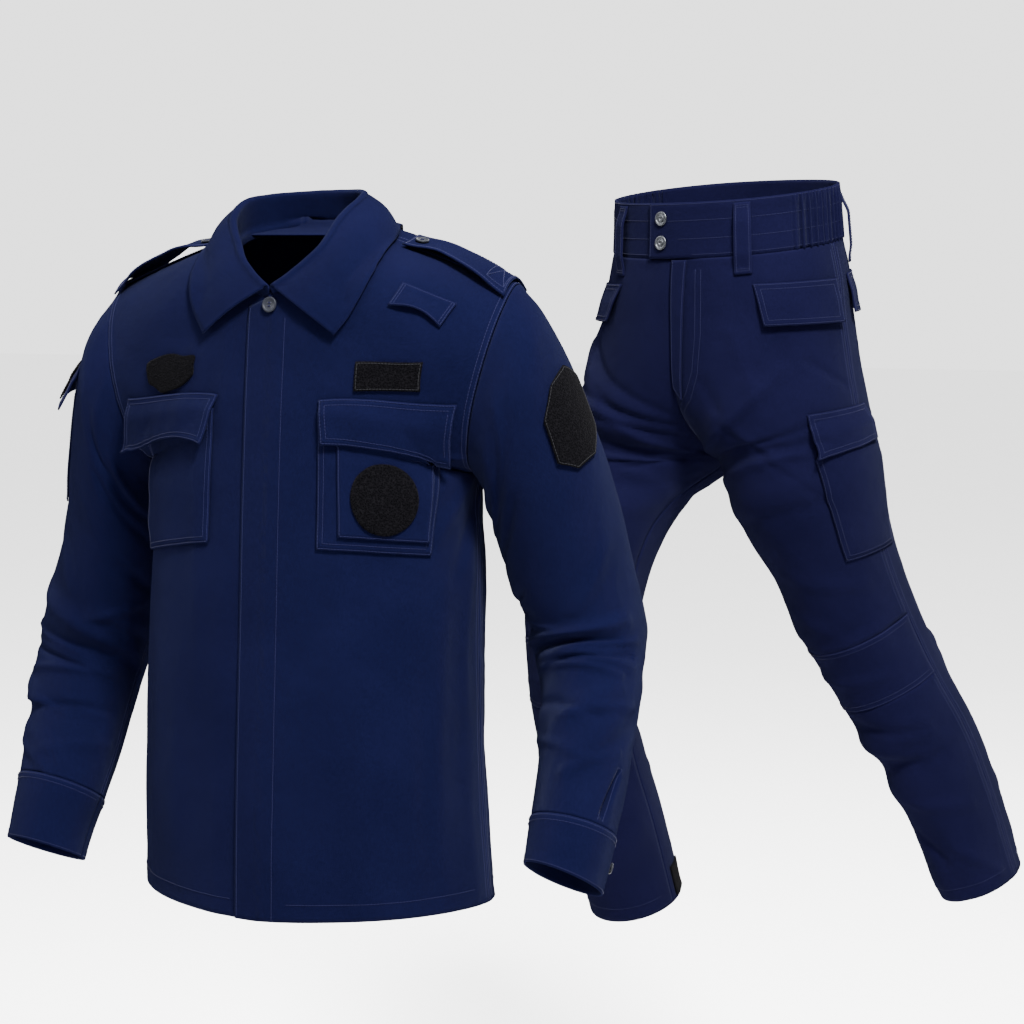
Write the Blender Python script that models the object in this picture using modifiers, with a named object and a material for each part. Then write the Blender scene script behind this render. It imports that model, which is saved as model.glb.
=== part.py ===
"""Navy work uniform: a long-sleeved utility jacket and matching cargo trousers, worn by nobody.

Metres, +Z up. The jacket's frame is the row's: its origin is the middle of the neck's base,
+X is the wearer's left and -Y the front. The trousers stand behind and to the wearer's left,
turned and tipped, in a frame of their own that is applied to their points.
Each cloth panel is worked out from short tables of sections, as a grid of points over
u, across, and v, down the table's rows, and gets its wall with Solidify.
"""

import math

import bmesh
import bpy
import numpy as np

# Cloth
CLOTH = 0.0015
DOUBLE = 0.002
PATCH = 0.0018
BAND = 0.0026
SEAM = 0.00022
BENT_SEAM = 0.0006
LAY = 0.0005

# Jacket
ARMHOLE_ROWS = 5
FLY_WIDTH = 0.0275
FLY_DROP = 0.0024
FOLD_RADIUS = 0.003
SHOULDER_ARCH = 0.010
BODY_LEAN, HEM_TILT = 0.0035, 0.014

# Trousers
TURN = math.radians(-16.5)
TIP = math.radians(2.3)
WAIST_AT = (0.3075, 0.563, 0.0625)
KNEE_TOP, KNEE_END, HEM_ROW = 9.0, 9.95, 13.0

# Hard parts
BUTTON = 0.0088
SMALL_BUTTON = 0.0078
CUFF_BUTTON = 0.0062
SNAP = 0.0092


def vec(*numbers):
    return np.array(numbers, float)


def unit(vectors):
    return vectors / np.maximum(np.linalg.norm(vectors, axis=-1, keepdims=True), 1e-12)


def smooth(t):
    t = np.clip(t, 0, 1)
    return t * t * (3 - 2 * t)


def cubic(p0, p1, p2, p3, t):
    t = t[..., None]
    return (1 - t) ** 3 * p0 + 3 * (1 - t) ** 2 * t * p1 + 3 * (1 - t) * t * t * p2 + t**3 * p3


def through(values, rows, first=0):
    """A smooth curve through a table's rows, read at these row numbers."""
    values = np.asarray(values, float)
    slope = np.gradient(values, axis=0)
    at = np.clip(np.asarray(rows, float) - first, 0, len(values) - 1)
    i = np.minimum(at.astype(int), len(values) - 2)
    t = (at - i)[..., None]
    a, b = 2 * t**3 - 3 * t**2 + 1, t**3 - 2 * t**2 + t
    return a * values[i] + b * slope[i] + (1 - a) * values[i + 1] + (t**3 - t**2) * slope[i + 1]


def round_through(values, turns):
    """The same on a closed loop of points, where one turn is the whole loop."""
    values = np.asarray(values, float)
    n = len(values)
    wrapped = np.concatenate([values[-2:], values, values[:3]])
    return through(wrapped, (np.asarray(turns) % 1.0) * n + 2)


def steps(*stretches):
    """Grid lines: each stretch is (start, end, cells)."""
    lines = [np.linspace(a, b, n + 1) for a, b, n in stretches]
    return np.unique(np.round(np.concatenate(lines), 6))


def snapped(values, lines):
    """The values, with the nearest one moved onto each line that they pass."""
    values = np.array(values, float)
    low, high = sorted((values[0], values[-1]))
    for line in lines:
        if low + 1e-6 < line < high - 1e-6 and len(values) > 2:
            i = 1 + int(np.argmin(np.abs(values[1:-1] - line)))
            values[i] = line
    return values


class Folds:
    """Soft ridges and troughs: each row is a stroke from (u, v) to (u, v), its width and its height."""

    def __init__(self, table, across, down, ring=False):
        self.table, self.across, self.down, self.ring = table, across, down, ring

    def __call__(self, u, v):
        total = np.zeros_like(u)
        for u0, v0, u1, v1, width, height in self.table:
            for turn in (-1, 0, 1) if self.ring else (0,):
                du, dv = (u1 - u0) * self.across, (v1 - v0) * self.down
                pu, pv = (u - u0 + turn) * self.across, (v - v0) * self.down
                length = max(math.hypot(du, dv), 1e-6)
                s = (pu * du + pv * dv) / length**2
                beyond = np.maximum(np.maximum(-s, s - 1), 0) * length
                off = (pv * du - pu * dv) / length
                fade = 1 - 0.5 * np.clip(np.abs(2 * s - 1), 0, 1) ** 2
                total += height * fade * np.exp(-(off**2 + 2 * beyond**2) / width**2)
        return total


class Sheet:
    """A curved panel: a grid of points and outward normals, read between its lines."""

    def __init__(self, shape, us, vs, out=1, ring=False, folds=None, middle=False):
        self.us, self.vs, self.out, self.ring = us, vs, out, ring
        u, v = np.meshgrid(us, vs)
        self.points = shape(u, v)
        self.normals = self.grid_normals(middle)
        if folds is not None:
            self.points = self.points + self.normals * folds(u, v)[..., None]
            self.normals = self.grid_normals(middle)

    def grid_normals(self, middle):
        p = self.points
        if self.ring:
            across = np.empty_like(p)
            across[:, 1:-1] = p[:, 2:] - p[:, :-2]
            across[:, 0] = across[:, -1] = p[:, 1] - p[:, -2]
        else:
            across = np.gradient(p, axis=1)
        normals = self.out * unit(np.cross(unit(across), unit(np.gradient(p, axis=0))))
        if middle:
            on_middle = np.abs(p[..., 0]) < 1e-6
            normals[on_middle, 0] = 0
        return unit(normals)

    def at(self, u, v, lift=0.0):
        """Points on the grid's own facets, moved out by lift."""
        u, v = np.broadcast_arrays(np.asarray(u, float), np.asarray(v, float))
        if self.ring:
            u = self.us[0] + (u - self.us[0]) % (self.us[-1] - self.us[0])
        i = np.clip(np.searchsorted(self.us, u, side="right") - 1, 0, len(self.us) - 2)
        j = np.clip(np.searchsorted(self.vs, v, side="right") - 1, 0, len(self.vs) - 2)
        s = ((u - self.us[i]) / (self.us[i + 1] - self.us[i]))[..., None]
        t = ((v - self.vs[j]) / (self.vs[j + 1] - self.vs[j]))[..., None]

        def mix(a):
            return (a[j, i] * (1 - s) + a[j, i + 1] * s) * (1 - t) + (
                a[j + 1, i] * (1 - s) + a[j + 1, i + 1] * s
            ) * t

        lift = np.broadcast_to(np.asarray(lift, float), u.shape)[..., None]
        return mix(self.points) + unit(mix(self.normals)) * lift

    def find(self, first, second, axes=(0, 2), last_row=99):
        """The (u, v) above last_row whose point has these two coordinates."""
        us = np.linspace(self.us[0], self.us[-1], 61)
        vs = np.linspace(self.vs[0], min(self.vs[-1], last_row), 121)
        u, v = np.meshgrid(us, vs)
        p = self.at(u, v)[..., list(axes)]
        best = np.unravel_index(np.argmin(((p - (first, second)) ** 2).sum(-1)), u.shape)
        a, b = u[best], v[best]
        for _ in range(12):
            here = self.at(a, b)[list(axes)]
            du = (self.at(a + 1e-3, b)[list(axes)] - here) / 1e-3
            dv = (self.at(a, b + 1e-2)[list(axes)] - here) / 1e-2
            step = np.linalg.lstsq(np.stack([du, dv], 1), (first, second) - here, rcond=None)[0]
            a = float(np.clip(a + np.clip(step[0], -0.05, 0.05), self.us[0], self.us[-1]))
            b = float(np.clip(b + np.clip(step[1], -0.5, 0.5), self.vs[0], self.vs[-1]))
        return a, b


def trimmed(points, top=0.0, bottom=0.0, left=0.0, right=0.0):
    """The grid with its borders drawn in by these lengths, which leaves the seams' gaps."""
    points = points.copy()
    for gap, edge, inner in (
        (top, np.s_[0], np.s_[1]),
        (bottom, np.s_[-1], np.s_[-2]),
        (left, np.s_[:, 0], np.s_[:, 1]),
        (right, np.s_[:, -1], np.s_[:, -2]),
    ):
        if gap:
            points[edge] = points[edge] + unit(points[inner] - points[edge]) * gap
    return points


# Objects and materials

MATERIALS = (
    ("jacket_navy", (0.016, 0.027, 0.105), 0.85, 0.0),
    ("trouser_navy", (0.010, 0.014, 0.055), 0.85, 0.0),
    ("loop_black", (0.006, 0.006, 0.008), 0.95, 0.0),
    ("button_plastic", (0.035, 0.038, 0.050), 0.40, 0.0),
    ("snap_metal", (0.30, 0.31, 0.33), 0.35, 1.0),
)


def clear_scene():
    for obj in list(bpy.data.objects):
        bpy.data.objects.remove(obj, do_unlink=True)


def make_materials():
    for name, colour, rough, metal in MATERIALS:
        material = bpy.data.materials.new(name)
        material.use_nodes = True
        shader = material.node_tree.nodes["Principled BSDF"]
        shader.inputs["Base Color"].default_value = (*colour, 1)
        shader.inputs["Roughness"].default_value = rough
        shader.inputs["Metallic"].default_value = metal


def add_object(name, bm, material, smooth_faces=True):
    mesh = bpy.data.meshes.new(name)
    bm.to_mesh(mesh)
    bm.free()
    mesh.materials.append(bpy.data.materials[material])
    for face in mesh.polygons:
        face.use_smooth = smooth_faces
    obj = bpy.data.objects.new(name, mesh)
    bpy.data.collections["work_uniform"].objects.link(obj)
    return obj


def cloth(name, grids, thickness, material, out=1, frame=None):
    """A node from one or more grids of points on its outer face, with its wall grown inwards."""
    bm = bmesh.new()
    for grid in grids:
        grid = grid if frame is None else frame(grid)
        down, across = grid.shape[0] - 1, grid.shape[1] - 1
        made = bmesh.ops.create_grid(bm, x_segments=across, y_segments=down, size=0.5)
        flat = grid.reshape(-1, 3)
        for vert, point in zip(made["verts"], flat):
            vert.co = point
    bmesh.ops.remove_doubles(bm, verts=bm.verts, dist=0.00002)
    bm.normal_update()
    if out < 0:
        bmesh.ops.reverse_faces(bm, faces=bm.faces)
    obj = add_object(name, bm, material)
    wall = obj.modifiers.new("wall", "SOLIDIFY")
    wall.thickness = thickness
    wall.offset = -1.0
    wall.use_even_offset = False
    return obj


def spread(sheet, corners, columns, rows, lift, bow=0.0, ends=None):
    """A grid over the four-sided area between corners (u, v): top left, top right, bottom left, right.

    Its points are moved onto the sheet's own lines across, so that it bends where the sheet does.
    ends(t) gives how far the left and right ends are drawn in, as shares of the width."""
    a, b, c, d = (np.array(corner, float) for corner in corners)
    lines = np.concatenate([sheet.us - 1, sheet.us, sheet.us + 1]) if sheet.ring else sheet.us
    grid = []
    top, bottom = (a[1] + b[1]) / 2, (c[1] + d[1]) / 2
    levels = snapped(np.linspace(top, bottom, rows + 1), sheet.vs)
    for t in (levels - top) / (bottom - top):
        start, end = a * (1 - t) + c * t, b * (1 - t) + d * t
        left, right = (0.0, 0.0) if ends is None else ends(t)
        u0 = start[0] + (end[0] - start[0]) * left
        u1 = start[0] + (end[0] - start[0]) * (1 - right)
        u = snapped(np.linspace(u0, u1, columns + 1), lines)
        s = (u - start[0]) / (end[0] - start[0])
        v = start[1] + (end[1] - start[1]) * s + bow * np.sin(np.pi * s) * t
        grid.append(sheet.at(u, v, lift(s, np.full_like(s, t))))
    return np.stack(grid)


def clear(points, sheets, least):
    """The points, moved out of these panels wherever they are nearer than least."""
    found = []
    for sheet in sheets:
        u, v = np.meshgrid(np.linspace(0, 1, 41), np.linspace(sheet.vs[0], 6, 61))
        p, n = sheet.at(u, v).reshape(-1, 3), sheet.at(u, v, 1).reshape(-1, 3)
        found.append((p, n - p))
    p, n = (np.concatenate(part) for part in zip(*found))
    points = points.copy()
    for _ in range(3):
        for index in np.ndindex(points.shape[:-1]):
            near = np.argmin(((p - points[index]) ** 2).sum(-1))
            off = (points[index] - p[near]) @ n[near]
            if off < least:
                points[index] += n[near] * (least - off)
    return points


def level(height):
    return lambda s, t: np.full_like(s, height)


def mirrored(points):
    return points * vec(-1, 1, 1)


# Jacket body, the wearer's left half. Each row runs from the centre or neck edge to the side.

ARMHOLE = (
    # x, y, z, from the shoulder point down the front to the underarm and up the back
    (0.250, 0.005, -0.055),
    (0.247, -0.036, -0.085),
    (0.236, -0.060, -0.140),
    (0.221, -0.062, -0.200),
    (0.208, -0.038, -0.248),
    (0.203, 0.004, -0.265),
    (0.208, 0.046, -0.246),
    (0.222, 0.074, -0.195),
    (0.237, 0.074, -0.135),
    (0.248, 0.046, -0.084),
)

SIDE = (
    # x, y, z of the side seam from the underarm to the hem
    (0.203, 0.004, -0.265),
    (0.205, 0.000, -0.350),
    (0.206, -0.002, -0.465),
    (0.210, -0.002, -0.605),
    (0.220, 0.000, -0.754),
)

FRONT = (
    # edge x, y, z | pull at the edge x, y, z | pull at the side x, y, z
    (0.088, 0.000, 0.000, 0.054, 0.000, -0.018, -0.054, 0.000, 0.017),
    (0.083, -0.040, -0.014, 0.052, -0.014, -0.008, -0.060, -0.014, 0.026),
    (0.060, -0.076, -0.040, 0.060, -0.018, -0.016, -0.055, -0.024, 0.032),
    (0.000, -0.100, -0.069, 0.085, -0.004, -0.030, -0.052, -0.036, 0.032),
    (0.000, -0.110, -0.140, 0.092, -0.004, -0.020, -0.034, -0.056, 0.022),
    (0.000, -0.118, -0.215, 0.098, -0.003, -0.010, -0.004, -0.070, 0.008),
    (0.000, -0.127, -0.325, 0.108, 0.000, 0.000, 0.002, -0.074, 0.000),
    (0.000, -0.134, -0.455, 0.112, 0.000, 0.000, 0.000, -0.078, 0.000),
    (0.000, -0.141, -0.605, 0.116, 0.000, 0.000, 0.000, -0.082, 0.000),
    (0.000, -0.146, -0.760, 0.100, 0.000, 0.002, 0.000, -0.070, 0.000),
)

BACK = (
    # edge x, y, z | pull at the edge x, y, z | pull at the side x, y, z
    (0.088, 0.000, 0.000, 0.054, 0.000, -0.018, -0.054, 0.000, 0.017),
    (0.066, 0.030, 0.008, 0.056, 0.014, 0.004, -0.062, 0.014, 0.030),
    (0.000, 0.045, 0.013, 0.072, 0.010, 0.006, -0.066, 0.014, 0.046),
    (0.000, 0.076, -0.060, 0.084, 0.010, 0.004, -0.050, 0.030, 0.024),
    (0.000, 0.094, -0.140, 0.092, 0.006, 0.000, -0.030, 0.050, 0.012),
    (0.000, 0.102, -0.220, 0.100, 0.002, 0.000, -0.004, 0.066, 0.004),
    (0.000, 0.102, -0.330, 0.108, 0.000, 0.000, 0.002, 0.070, 0.000),
    (0.000, 0.100, -0.458, 0.112, 0.000, 0.000, 0.000, 0.070, 0.000),
    (0.000, 0.107, -0.607, 0.116, 0.000, 0.000, 0.000, 0.074, 0.000),
    (0.000, 0.115, -0.762, 0.122, 0.000, 0.000, 0.000, 0.080, 0.000),
)

BODY_FOLDS = (
    # u, v to u, v, width, height
    (0.98, 4.9, 0.45, 5.6, 0.022, 0.0035),
    (0.96, 5.6, 0.62, 6.6, 0.020, -0.0030),
    (0.55, 6.6, 0.50, 8.8, 0.030, 0.0030),
    (0.86, 6.4, 0.82, 8.9, 0.028, -0.0030),
    (0.20, 7.4, 0.24, 9.0, 0.030, -0.0022),
)

BACK_FOLDS = (
    (0.96, 4.8, 0.50, 5.5, 0.024, 0.0040),
    (0.94, 5.5, 0.55, 6.7, 0.022, -0.0035),
    (0.35, 5.2, 0.42, 8.7, 0.035, 0.0035),
    (0.72, 6.4, 0.66, 8.9, 0.030, -0.0035),
)


def body_half(table, back):
    """shape(u, v) of half a front or half the back, with rows 0 to 5 ending on the armhole."""
    table = np.array(table)
    sign = -1 if back else 1

    def shape(u, v):
        row = through(table, v)
        arm = round_through(ARMHOLE, sign * np.clip(v, 0, ARMHOLE_ROWS) / len(ARMHOLE))
        side = through(SIDE, v, ARMHOLE_ROWS)
        end = np.where((v <= ARMHOLE_ROWS)[..., None], arm, side)
        start = row[..., 0:3].copy()
        start[..., 0] = np.where(v >= (2 if back else 3), 0, start[..., 0])
        return cubic(start, start + row[..., 3:6], end + row[..., 6:9], end, u)

    return shape


def settled(points):
    """The jacket's lower part hangs a little lower and further out on the wearer's right."""
    low = smooth((-points[..., 2] - 0.35) / 0.4)[..., None]
    return points + low * (vec(-BODY_LEAN, 0, 0) + points[..., :1] * vec(0, 0, HEM_TILT))


def u_at_x(shape, x, v):
    """Where a row reaches this x, by halving."""
    low, high = np.zeros_like(v), np.full_like(v, 0.5)
    for _ in range(30):
        mid = (low + high) / 2
        short = shape(mid, v)[..., 0] < x
        low, high = np.where(short, mid, low), np.where(short, high, mid)
    return (low + high) / 2


BODY_US = steps((0, 1, 9))
BODY_VS = steps((0, 3, 5), (3, 5, 4), (5, 9, 5))


def front_right_shape(u, v):
    """The under side of the fly: it drops back near the centre to lie beneath the other front."""
    points = body_half(FRONT, False)(u, v)
    near = smooth((0.062 - points[..., 0]) / 0.030) * smooth((v - 2.2) / 0.7)
    points[..., 1] += FLY_DROP * near
    return mirrored(points)


def build_body():
    left = Sheet(body_half(FRONT, False), BODY_US, BODY_VS, -1, middle=True,
                 folds=Folds(BODY_FOLDS, 0.22, 0.09))
    right = Sheet(front_right_shape, BODY_US, BODY_VS, 1, middle=True,
                  folds=Folds([(a, b, c, d, w * 1.1, h * 0.9) for a, b, c, d, w, h in BODY_FOLDS],
                              0.22, 0.09))
    plain = body_half(FRONT, False)
    rows = left.vs[left.vs >= 3]
    w, v = np.meshgrid(np.linspace(1, 0, 3), rows)
    over = plain(u_at_x(plain, FLY_WIDTH * w, v), v)
    over[:, -1] = left.points[len(left.vs) - len(rows):, 0]
    over[..., 0] *= -1
    over[:, -1, 0] = 0
    body = trimmed(left.points, top=BENT_SEAM * 1.5, right=BENT_SEAM * 1.8)
    cloth("front_left", [body, over], CLOTH, "jacket_navy", -1, settled)
    cloth("front_right", [trimmed(right.points, top=BENT_SEAM * 1.5, right=BENT_SEAM)], CLOTH,
          "jacket_navy", 1, settled)
    folds = Folds(BACK_FOLDS, 0.22, 0.09)
    back_left = Sheet(body_half(BACK, True), BODY_US, BODY_VS, 1, folds=folds, middle=True)
    back_right = Sheet(lambda u, v: mirrored(body_half(BACK, True)(u, v)), BODY_US, BODY_VS, -1,
                       folds=folds, middle=True)
    halves = [trimmed(half.points, top=BENT_SEAM * 1.5, right=BENT_SEAM * 1.9)
              for half in (back_left, back_right)]
    cloth("back", [halves[0], halves[1][:, ::-1]], CLOTH, "jacket_navy", 1, settled)
    return left, right, back_left, back_right


# Sleeves. Each ring is given by its outer and inner points and its half depth, front to back.

SLEEVE_LEFT = (
    # outer x, y, z | inner x, y, z | half depth; the last two rows are the cuff's
    (0.283, 0.006, -0.092, 0.213, 0.004, -0.288, 0.077),
    (0.314, 0.014, -0.158, 0.216, 0.012, -0.312, 0.075),
    (0.343, 0.026, -0.243, 0.218, 0.022, -0.332, 0.071),
    (0.362, 0.038, -0.326, 0.222, 0.036, -0.362, 0.068),
    (0.371, 0.047, -0.382, 0.234, 0.045, -0.405, 0.066),
    (0.380, 0.052, -0.428, 0.251, 0.050, -0.442, 0.064),
    (0.384, 0.040, -0.472, 0.262, 0.038, -0.480, 0.060),
    (0.388, 0.016, -0.509, 0.277, 0.014, -0.514, 0.055),
    (0.391, -0.014, -0.551, 0.288, -0.016, -0.554, 0.050),
    (0.394, -0.042, -0.592, 0.295, -0.042, -0.590, 0.047),
    (0.394, -0.072, -0.640, 0.299, -0.072, -0.634, 0.045),
    (0.393, -0.087, -0.667, 0.301, -0.086, -0.655, 0.044),
    (0.390, -0.102, -0.695, 0.303, -0.100, -0.676, 0.043),
)

SLEEVE_RIGHT = (
    (0.266, 0.006, -0.090, 0.213, 0.004, -0.288, 0.077),
    (0.296, 0.014, -0.158, 0.216, 0.012, -0.314, 0.075),
    (0.325, 0.026, -0.250, 0.216, 0.022, -0.336, 0.072),
    (0.348, 0.037, -0.332, 0.220, 0.036, -0.370, 0.069),
    (0.373, 0.044, -0.397, 0.232, 0.042, -0.424, 0.067),
    (0.393, 0.048, -0.452, 0.250, 0.046, -0.474, 0.066),
    (0.402, 0.041, -0.510, 0.267, 0.040, -0.524, 0.063),
    (0.400, 0.018, -0.562, 0.272, 0.018, -0.573, 0.059),
    (0.389, -0.012, -0.606, 0.269, -0.012, -0.616, 0.054),
    (0.378, -0.046, -0.652, 0.269, -0.046, -0.664, 0.049),
    (0.375, -0.063, -0.686, 0.275, -0.062, -0.698, 0.047),
    (0.372, -0.080, -0.719, 0.278, -0.078, -0.731, 0.045),
)

CUFF_ROWS = 2
CUFF_EASE = 0.0007

ELBOW_LEFT = (
    # turn, row to turn, row, width, height: 0 is the outside, 0.25 the front, 0.5 the inside
    (0.08, 5.9, 0.42, 6.5, 0.013, 0.0060),
    (0.12, 6.6, 0.50, 6.9, 0.012, -0.0055),
    (0.06, 7.3, 0.38, 7.2, 0.012, 0.0050),
    (0.36, 5.2, 0.56, 6.0, 0.014, -0.0050),
    (0.10, 8.0, 0.34, 9.2, 0.013, 0.0045),
    (0.00, 8.6, 0.22, 10.2, 0.014, -0.0045),
    (0.38, 8.2, 0.52, 9.6, 0.015, 0.0040),
    (0.28, 1.0, 0.44, 2.8, 0.016, -0.0045),
    (0.34, 0.6, 0.47, 1.8, 0.014, 0.0045),
    (0.62, 1.0, 0.54, 2.8, 0.016, -0.0050),
    (0.92, 6.2, 0.66, 6.8, 0.016, 0.0050),
    (0.95, 7.2, 0.70, 7.0, 0.014, -0.0045),
    (0.90, 8.6, 0.72, 9.8, 0.016, 0.0040),
)

ELBOW_RIGHT = (
    (0.06, 5.4, 0.44, 6.6, 0.013, 0.0055),
    (0.10, 6.4, 0.48, 7.0, 0.012, -0.0055),
    (0.30, 5.6, 0.52, 6.0, 0.013, 0.0045),
    (0.04, 7.6, 0.20, 8.6, 0.014, 0.0060),
    (0.08, 8.5, 0.40, 8.7, 0.013, -0.0050),
    (0.00, 8.8, 0.30, 9.6, 0.013, 0.0040),
    (0.28, 1.0, 0.44, 2.8, 0.016, -0.0045),
    (0.62, 1.0, 0.54, 2.8, 0.016, -0.0050),
    (0.94, 6.0, 0.66, 6.9, 0.016, 0.0050),
    (0.92, 7.4, 0.70, 7.2, 0.014, -0.0045),
)


def rings(table, u, first_ring=None):
    """Points of each ring of a sleeve table at turns u, as (ring, len(u), 3)."""
    table = np.array(table)
    outer, inner, deep = table[:, 0:3], table[:, 3:6], table[:, 6:7]
    centre = (outer + inner) / 2
    path = centre if first_ring is None else np.concatenate([[first_ring.mean(0)], centre])
    axis = unit(np.gradient(path, axis=0))[len(path) - len(centre):]
    half = (outer - inner) / 2
    front = unit(np.cross(axis, half)) * deep
    angle = 2 * np.pi * u
    points = (
        centre[:, None]
        + half[:, None] * np.cos(angle)[None, :, None]
        + front[:, None] * np.sin(angle)[None, :, None]
    )
    return points if first_ring is None else np.concatenate([first_ring[None], points])


def ring_shape(table, flip):
    def shape(u, v):
        turns = u[0]
        every = rings(table, turns, round_through(ARMHOLE, turns))
        points = through(every.reshape(len(every), -1), v[:, 0]).reshape(*u.shape, 3)
        return mirrored(points) if flip else points

    return shape


def build_sleeve(side, table, fold_table):
    flip = side == "right"
    out = -1 if flip else 1
    end = len(table)
    seam = end - CUFF_ROWS
    us = steps((0, 1, 16))
    folds = Folds(fold_table, 0.42, 0.055, ring=True)
    tube = Sheet(ring_shape(table, flip), us, steps((0, 2, 3), (2, 4, 3), (4, seam, 11)),
                 out, True, folds)
    body = trimmed(tube.points, top=BENT_SEAM * (4.6 if flip else 3.9), bottom=SEAM * 2)
    cloth(f"sleeve_{side}", [body], CLOTH, "jacket_navy", out)
    band = Sheet(ring_shape(table, flip), us, steps((seam, end, 2)), out, True, folds)
    eased = band.points + band.normals * CUFF_EASE
    cloth(f"cuff_{side}", [trimmed(eased, top=SEAM)], DOUBLE, "jacket_navy", out)
    return tube, band


# Collar: one folded sheet, from the neck seam up the stand, over the fold and down the leaf.

COLLAR = (
    # seam x, y, z | fold x, y, z | leaf edge x, y, z, from the centre back to the left front
    (0.000, 0.0445, 0.0150, 0.000, 0.040, 0.047, 0.000, 0.072, -0.014),
    (0.034, 0.0415, 0.0140, 0.033, 0.036, 0.047, 0.043, 0.070, -0.012),
    (0.064, 0.029, 0.0105, 0.059, 0.022, 0.046, 0.080, 0.050, -0.005),
    (0.0855, 0.000, 0.0025, 0.075, -0.007, 0.040, 0.106, 0.002, 0.001),
    (0.0810, -0.038, -0.0105, 0.070, -0.045, 0.019, 0.114, -0.044, -0.024),
    (0.0590, -0.074, -0.0370, 0.050, -0.080, -0.018, 0.109, -0.076, -0.060),
    (0.0320, -0.0925, -0.0560, 0.026, -0.096, -0.043, 0.097, -0.098, -0.088),
    (0.0030, -0.1000, -0.0680, 0.004, -0.1045, -0.060, 0.081, -0.108, -0.110),
)
COLLAR_TILT = 0.06
COLLAR_SHIFT = 0.009


def build_collar(sheets):
    table = np.array(COLLAR)
    around = np.concatenate([mirrored(table[:0:-1].reshape(-1, 3)).reshape(-1, 9), table])
    count = len(around) - 1
    row = through(around, steps((0, 3, 4), (3, 5, 5), (5, 9, 5), (9, 11, 5), (11, count, 4)))
    seam, fold, edge = row[:, 0:3], row[:, 3:6], row[:, 6:9]
    fold[:, 2] += COLLAR_TILT * np.minimum(fold[:, 0], 0)
    fold[:, 0] -= COLLAR_SHIFT * smooth((fold[:, 2] + 0.02) / 0.04)
    outward = unit((edge - seam) * vec(1, 1, 0))
    up = vec(0, 0, 1) * FOLD_RADIUS
    r = outward * FOLD_RADIUS
    lines = [seam, seam * 0.45 + (fold - r) * 0.55, fold - r]
    for angle in (45, 90, 135):
        a = math.radians(angle)
        lines.append(fold - r * math.cos(a) + up * math.sin(a))
    start = fold + r
    bulge = unit(np.cross(np.gradient(seam, axis=0), edge - fold))
    bulge = bulge * np.sign((bulge * (outward + vec(0, 0, 0.6))).sum(-1, keepdims=True))
    for t in (0, 0.3, 0.65, 1):
        lines.append(start * (1 - t) + edge * t + bulge * 0.006 * math.sin(math.pi * t))
    grid = np.stack(lines)
    grid[:1] = clear(grid[:1] - outward * 0.0014, sheets, 0.0027)
    grid[-3:] = clear(grid[-3:], sheets, DOUBLE + 0.0036)
    cloth("collar", [grid], DOUBLE, "jacket_navy", -1)


# Shoulder straps


def shoulder_strip(front, back, x_in, x_out, half_in, half_out, columns, lift):
    """A grid across the shoulder: lines along x, from the front to the back of the seam."""
    across = np.linspace(-1, 1, 5)
    along = np.linspace(0, 1, columns + 1)
    grid = np.empty((len(across), columns + 1, 3))
    for i, a in enumerate(along):
        x = x_in + (x_out - x_in) * a
        half = half_in + (half_out - half_in) * a
        for j, w in enumerate(across):
            y = 0.003 * a + w * half
            sheet = front if y < 0.003 * a else back
            u, v = sheet.find(x, y, (0, 1), 2.5)
            grid[j, i] = sheet.at(u, v, lift(a, w))
    return grid


def build_straps(side, front, back):
    flip, arch = (-1, SHOULDER_ARCH) if side == "right" else (1, SHOULDER_ARCH * 0.55)
    x_in, x_out = flip * 0.122, flip * 0.243

    def under(a, w):
        return LAY + 0.0006 + CLOTH

    def over(a, w):
        rise = smooth(a / 0.35) * smooth((1 - a) / 0.30)
        return LAY * 2 + 0.0010 + CLOTH + DOUBLE + arch * rise + 0.002 * w * w * rise

    base = shoulder_strip(front, back, x_in, x_out, 0.013, 0.015, 7, under)
    strap = shoulder_strip(front, back, x_in - flip * 0.001, x_out + flip * 0.003,
                           0.021, 0.029, 9, over)
    out = 1 if flip < 0 else -1
    cloth(f"epaulette_base_{side}", [base], CLOTH, "jacket_navy", -out)
    cloth(f"epaulette_{side}", [strap], DOUBLE, "jacket_navy", -out)
    at = strap[2, 1]
    normal = unit(np.cross(strap[2, 2] - strap[2, 0], strap[3, 1] - strap[1, 1]))
    normal = normal * np.sign(normal[2])
    add_button(f"button_epaulette_{side}", at, normal, SMALL_BUTTON, 0.0030, "button_plastic")


def add_button(name, at, normal, radius, height, material, gap=0.0010, frame=None):
    """A round button with a raised rim, standing on a face."""
    bm = bmesh.new()
    profile = (
        (0.0, 0.0), (radius * 0.92, 0.0), (radius, height * 0.5), (radius * 0.88, height),
        (radius * 0.72, height * 0.72), (0.0, height * 0.66),
    )
    verts = [bm.verts.new((x, 0, z)) for x, z in profile]
    edges = [bm.edges.new(pair) for pair in zip(verts, verts[1:])]
    bmesh.ops.spin(bm, geom=verts + edges, cent=(0, 0, 0), axis=(0, 0, 1), dvec=(0, 0, 0),
                   angle=2 * math.pi, steps=14, use_merge=True, use_duplicate=False)
    bmesh.ops.remove_doubles(bm, verts=bm.verts, dist=0.00002)
    bmesh.ops.recalc_face_normals(bm, faces=bm.faces)
    z = unit(np.asarray(normal, float))
    x = unit(np.cross(vec(0, 1, 0.2), z))
    y = np.cross(z, x)
    for vert in bm.verts:
        local = np.array(vert.co)
        point = np.asarray(at) + x * local[0] + y * local[1] + z * (local[2] + gap)
        vert.co = point if frame is None else frame(point)
    return add_object(name, bm, material)


# Chest pockets, flaps and patches, placed by u and v on the fronts. u grows from the centre out.

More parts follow.
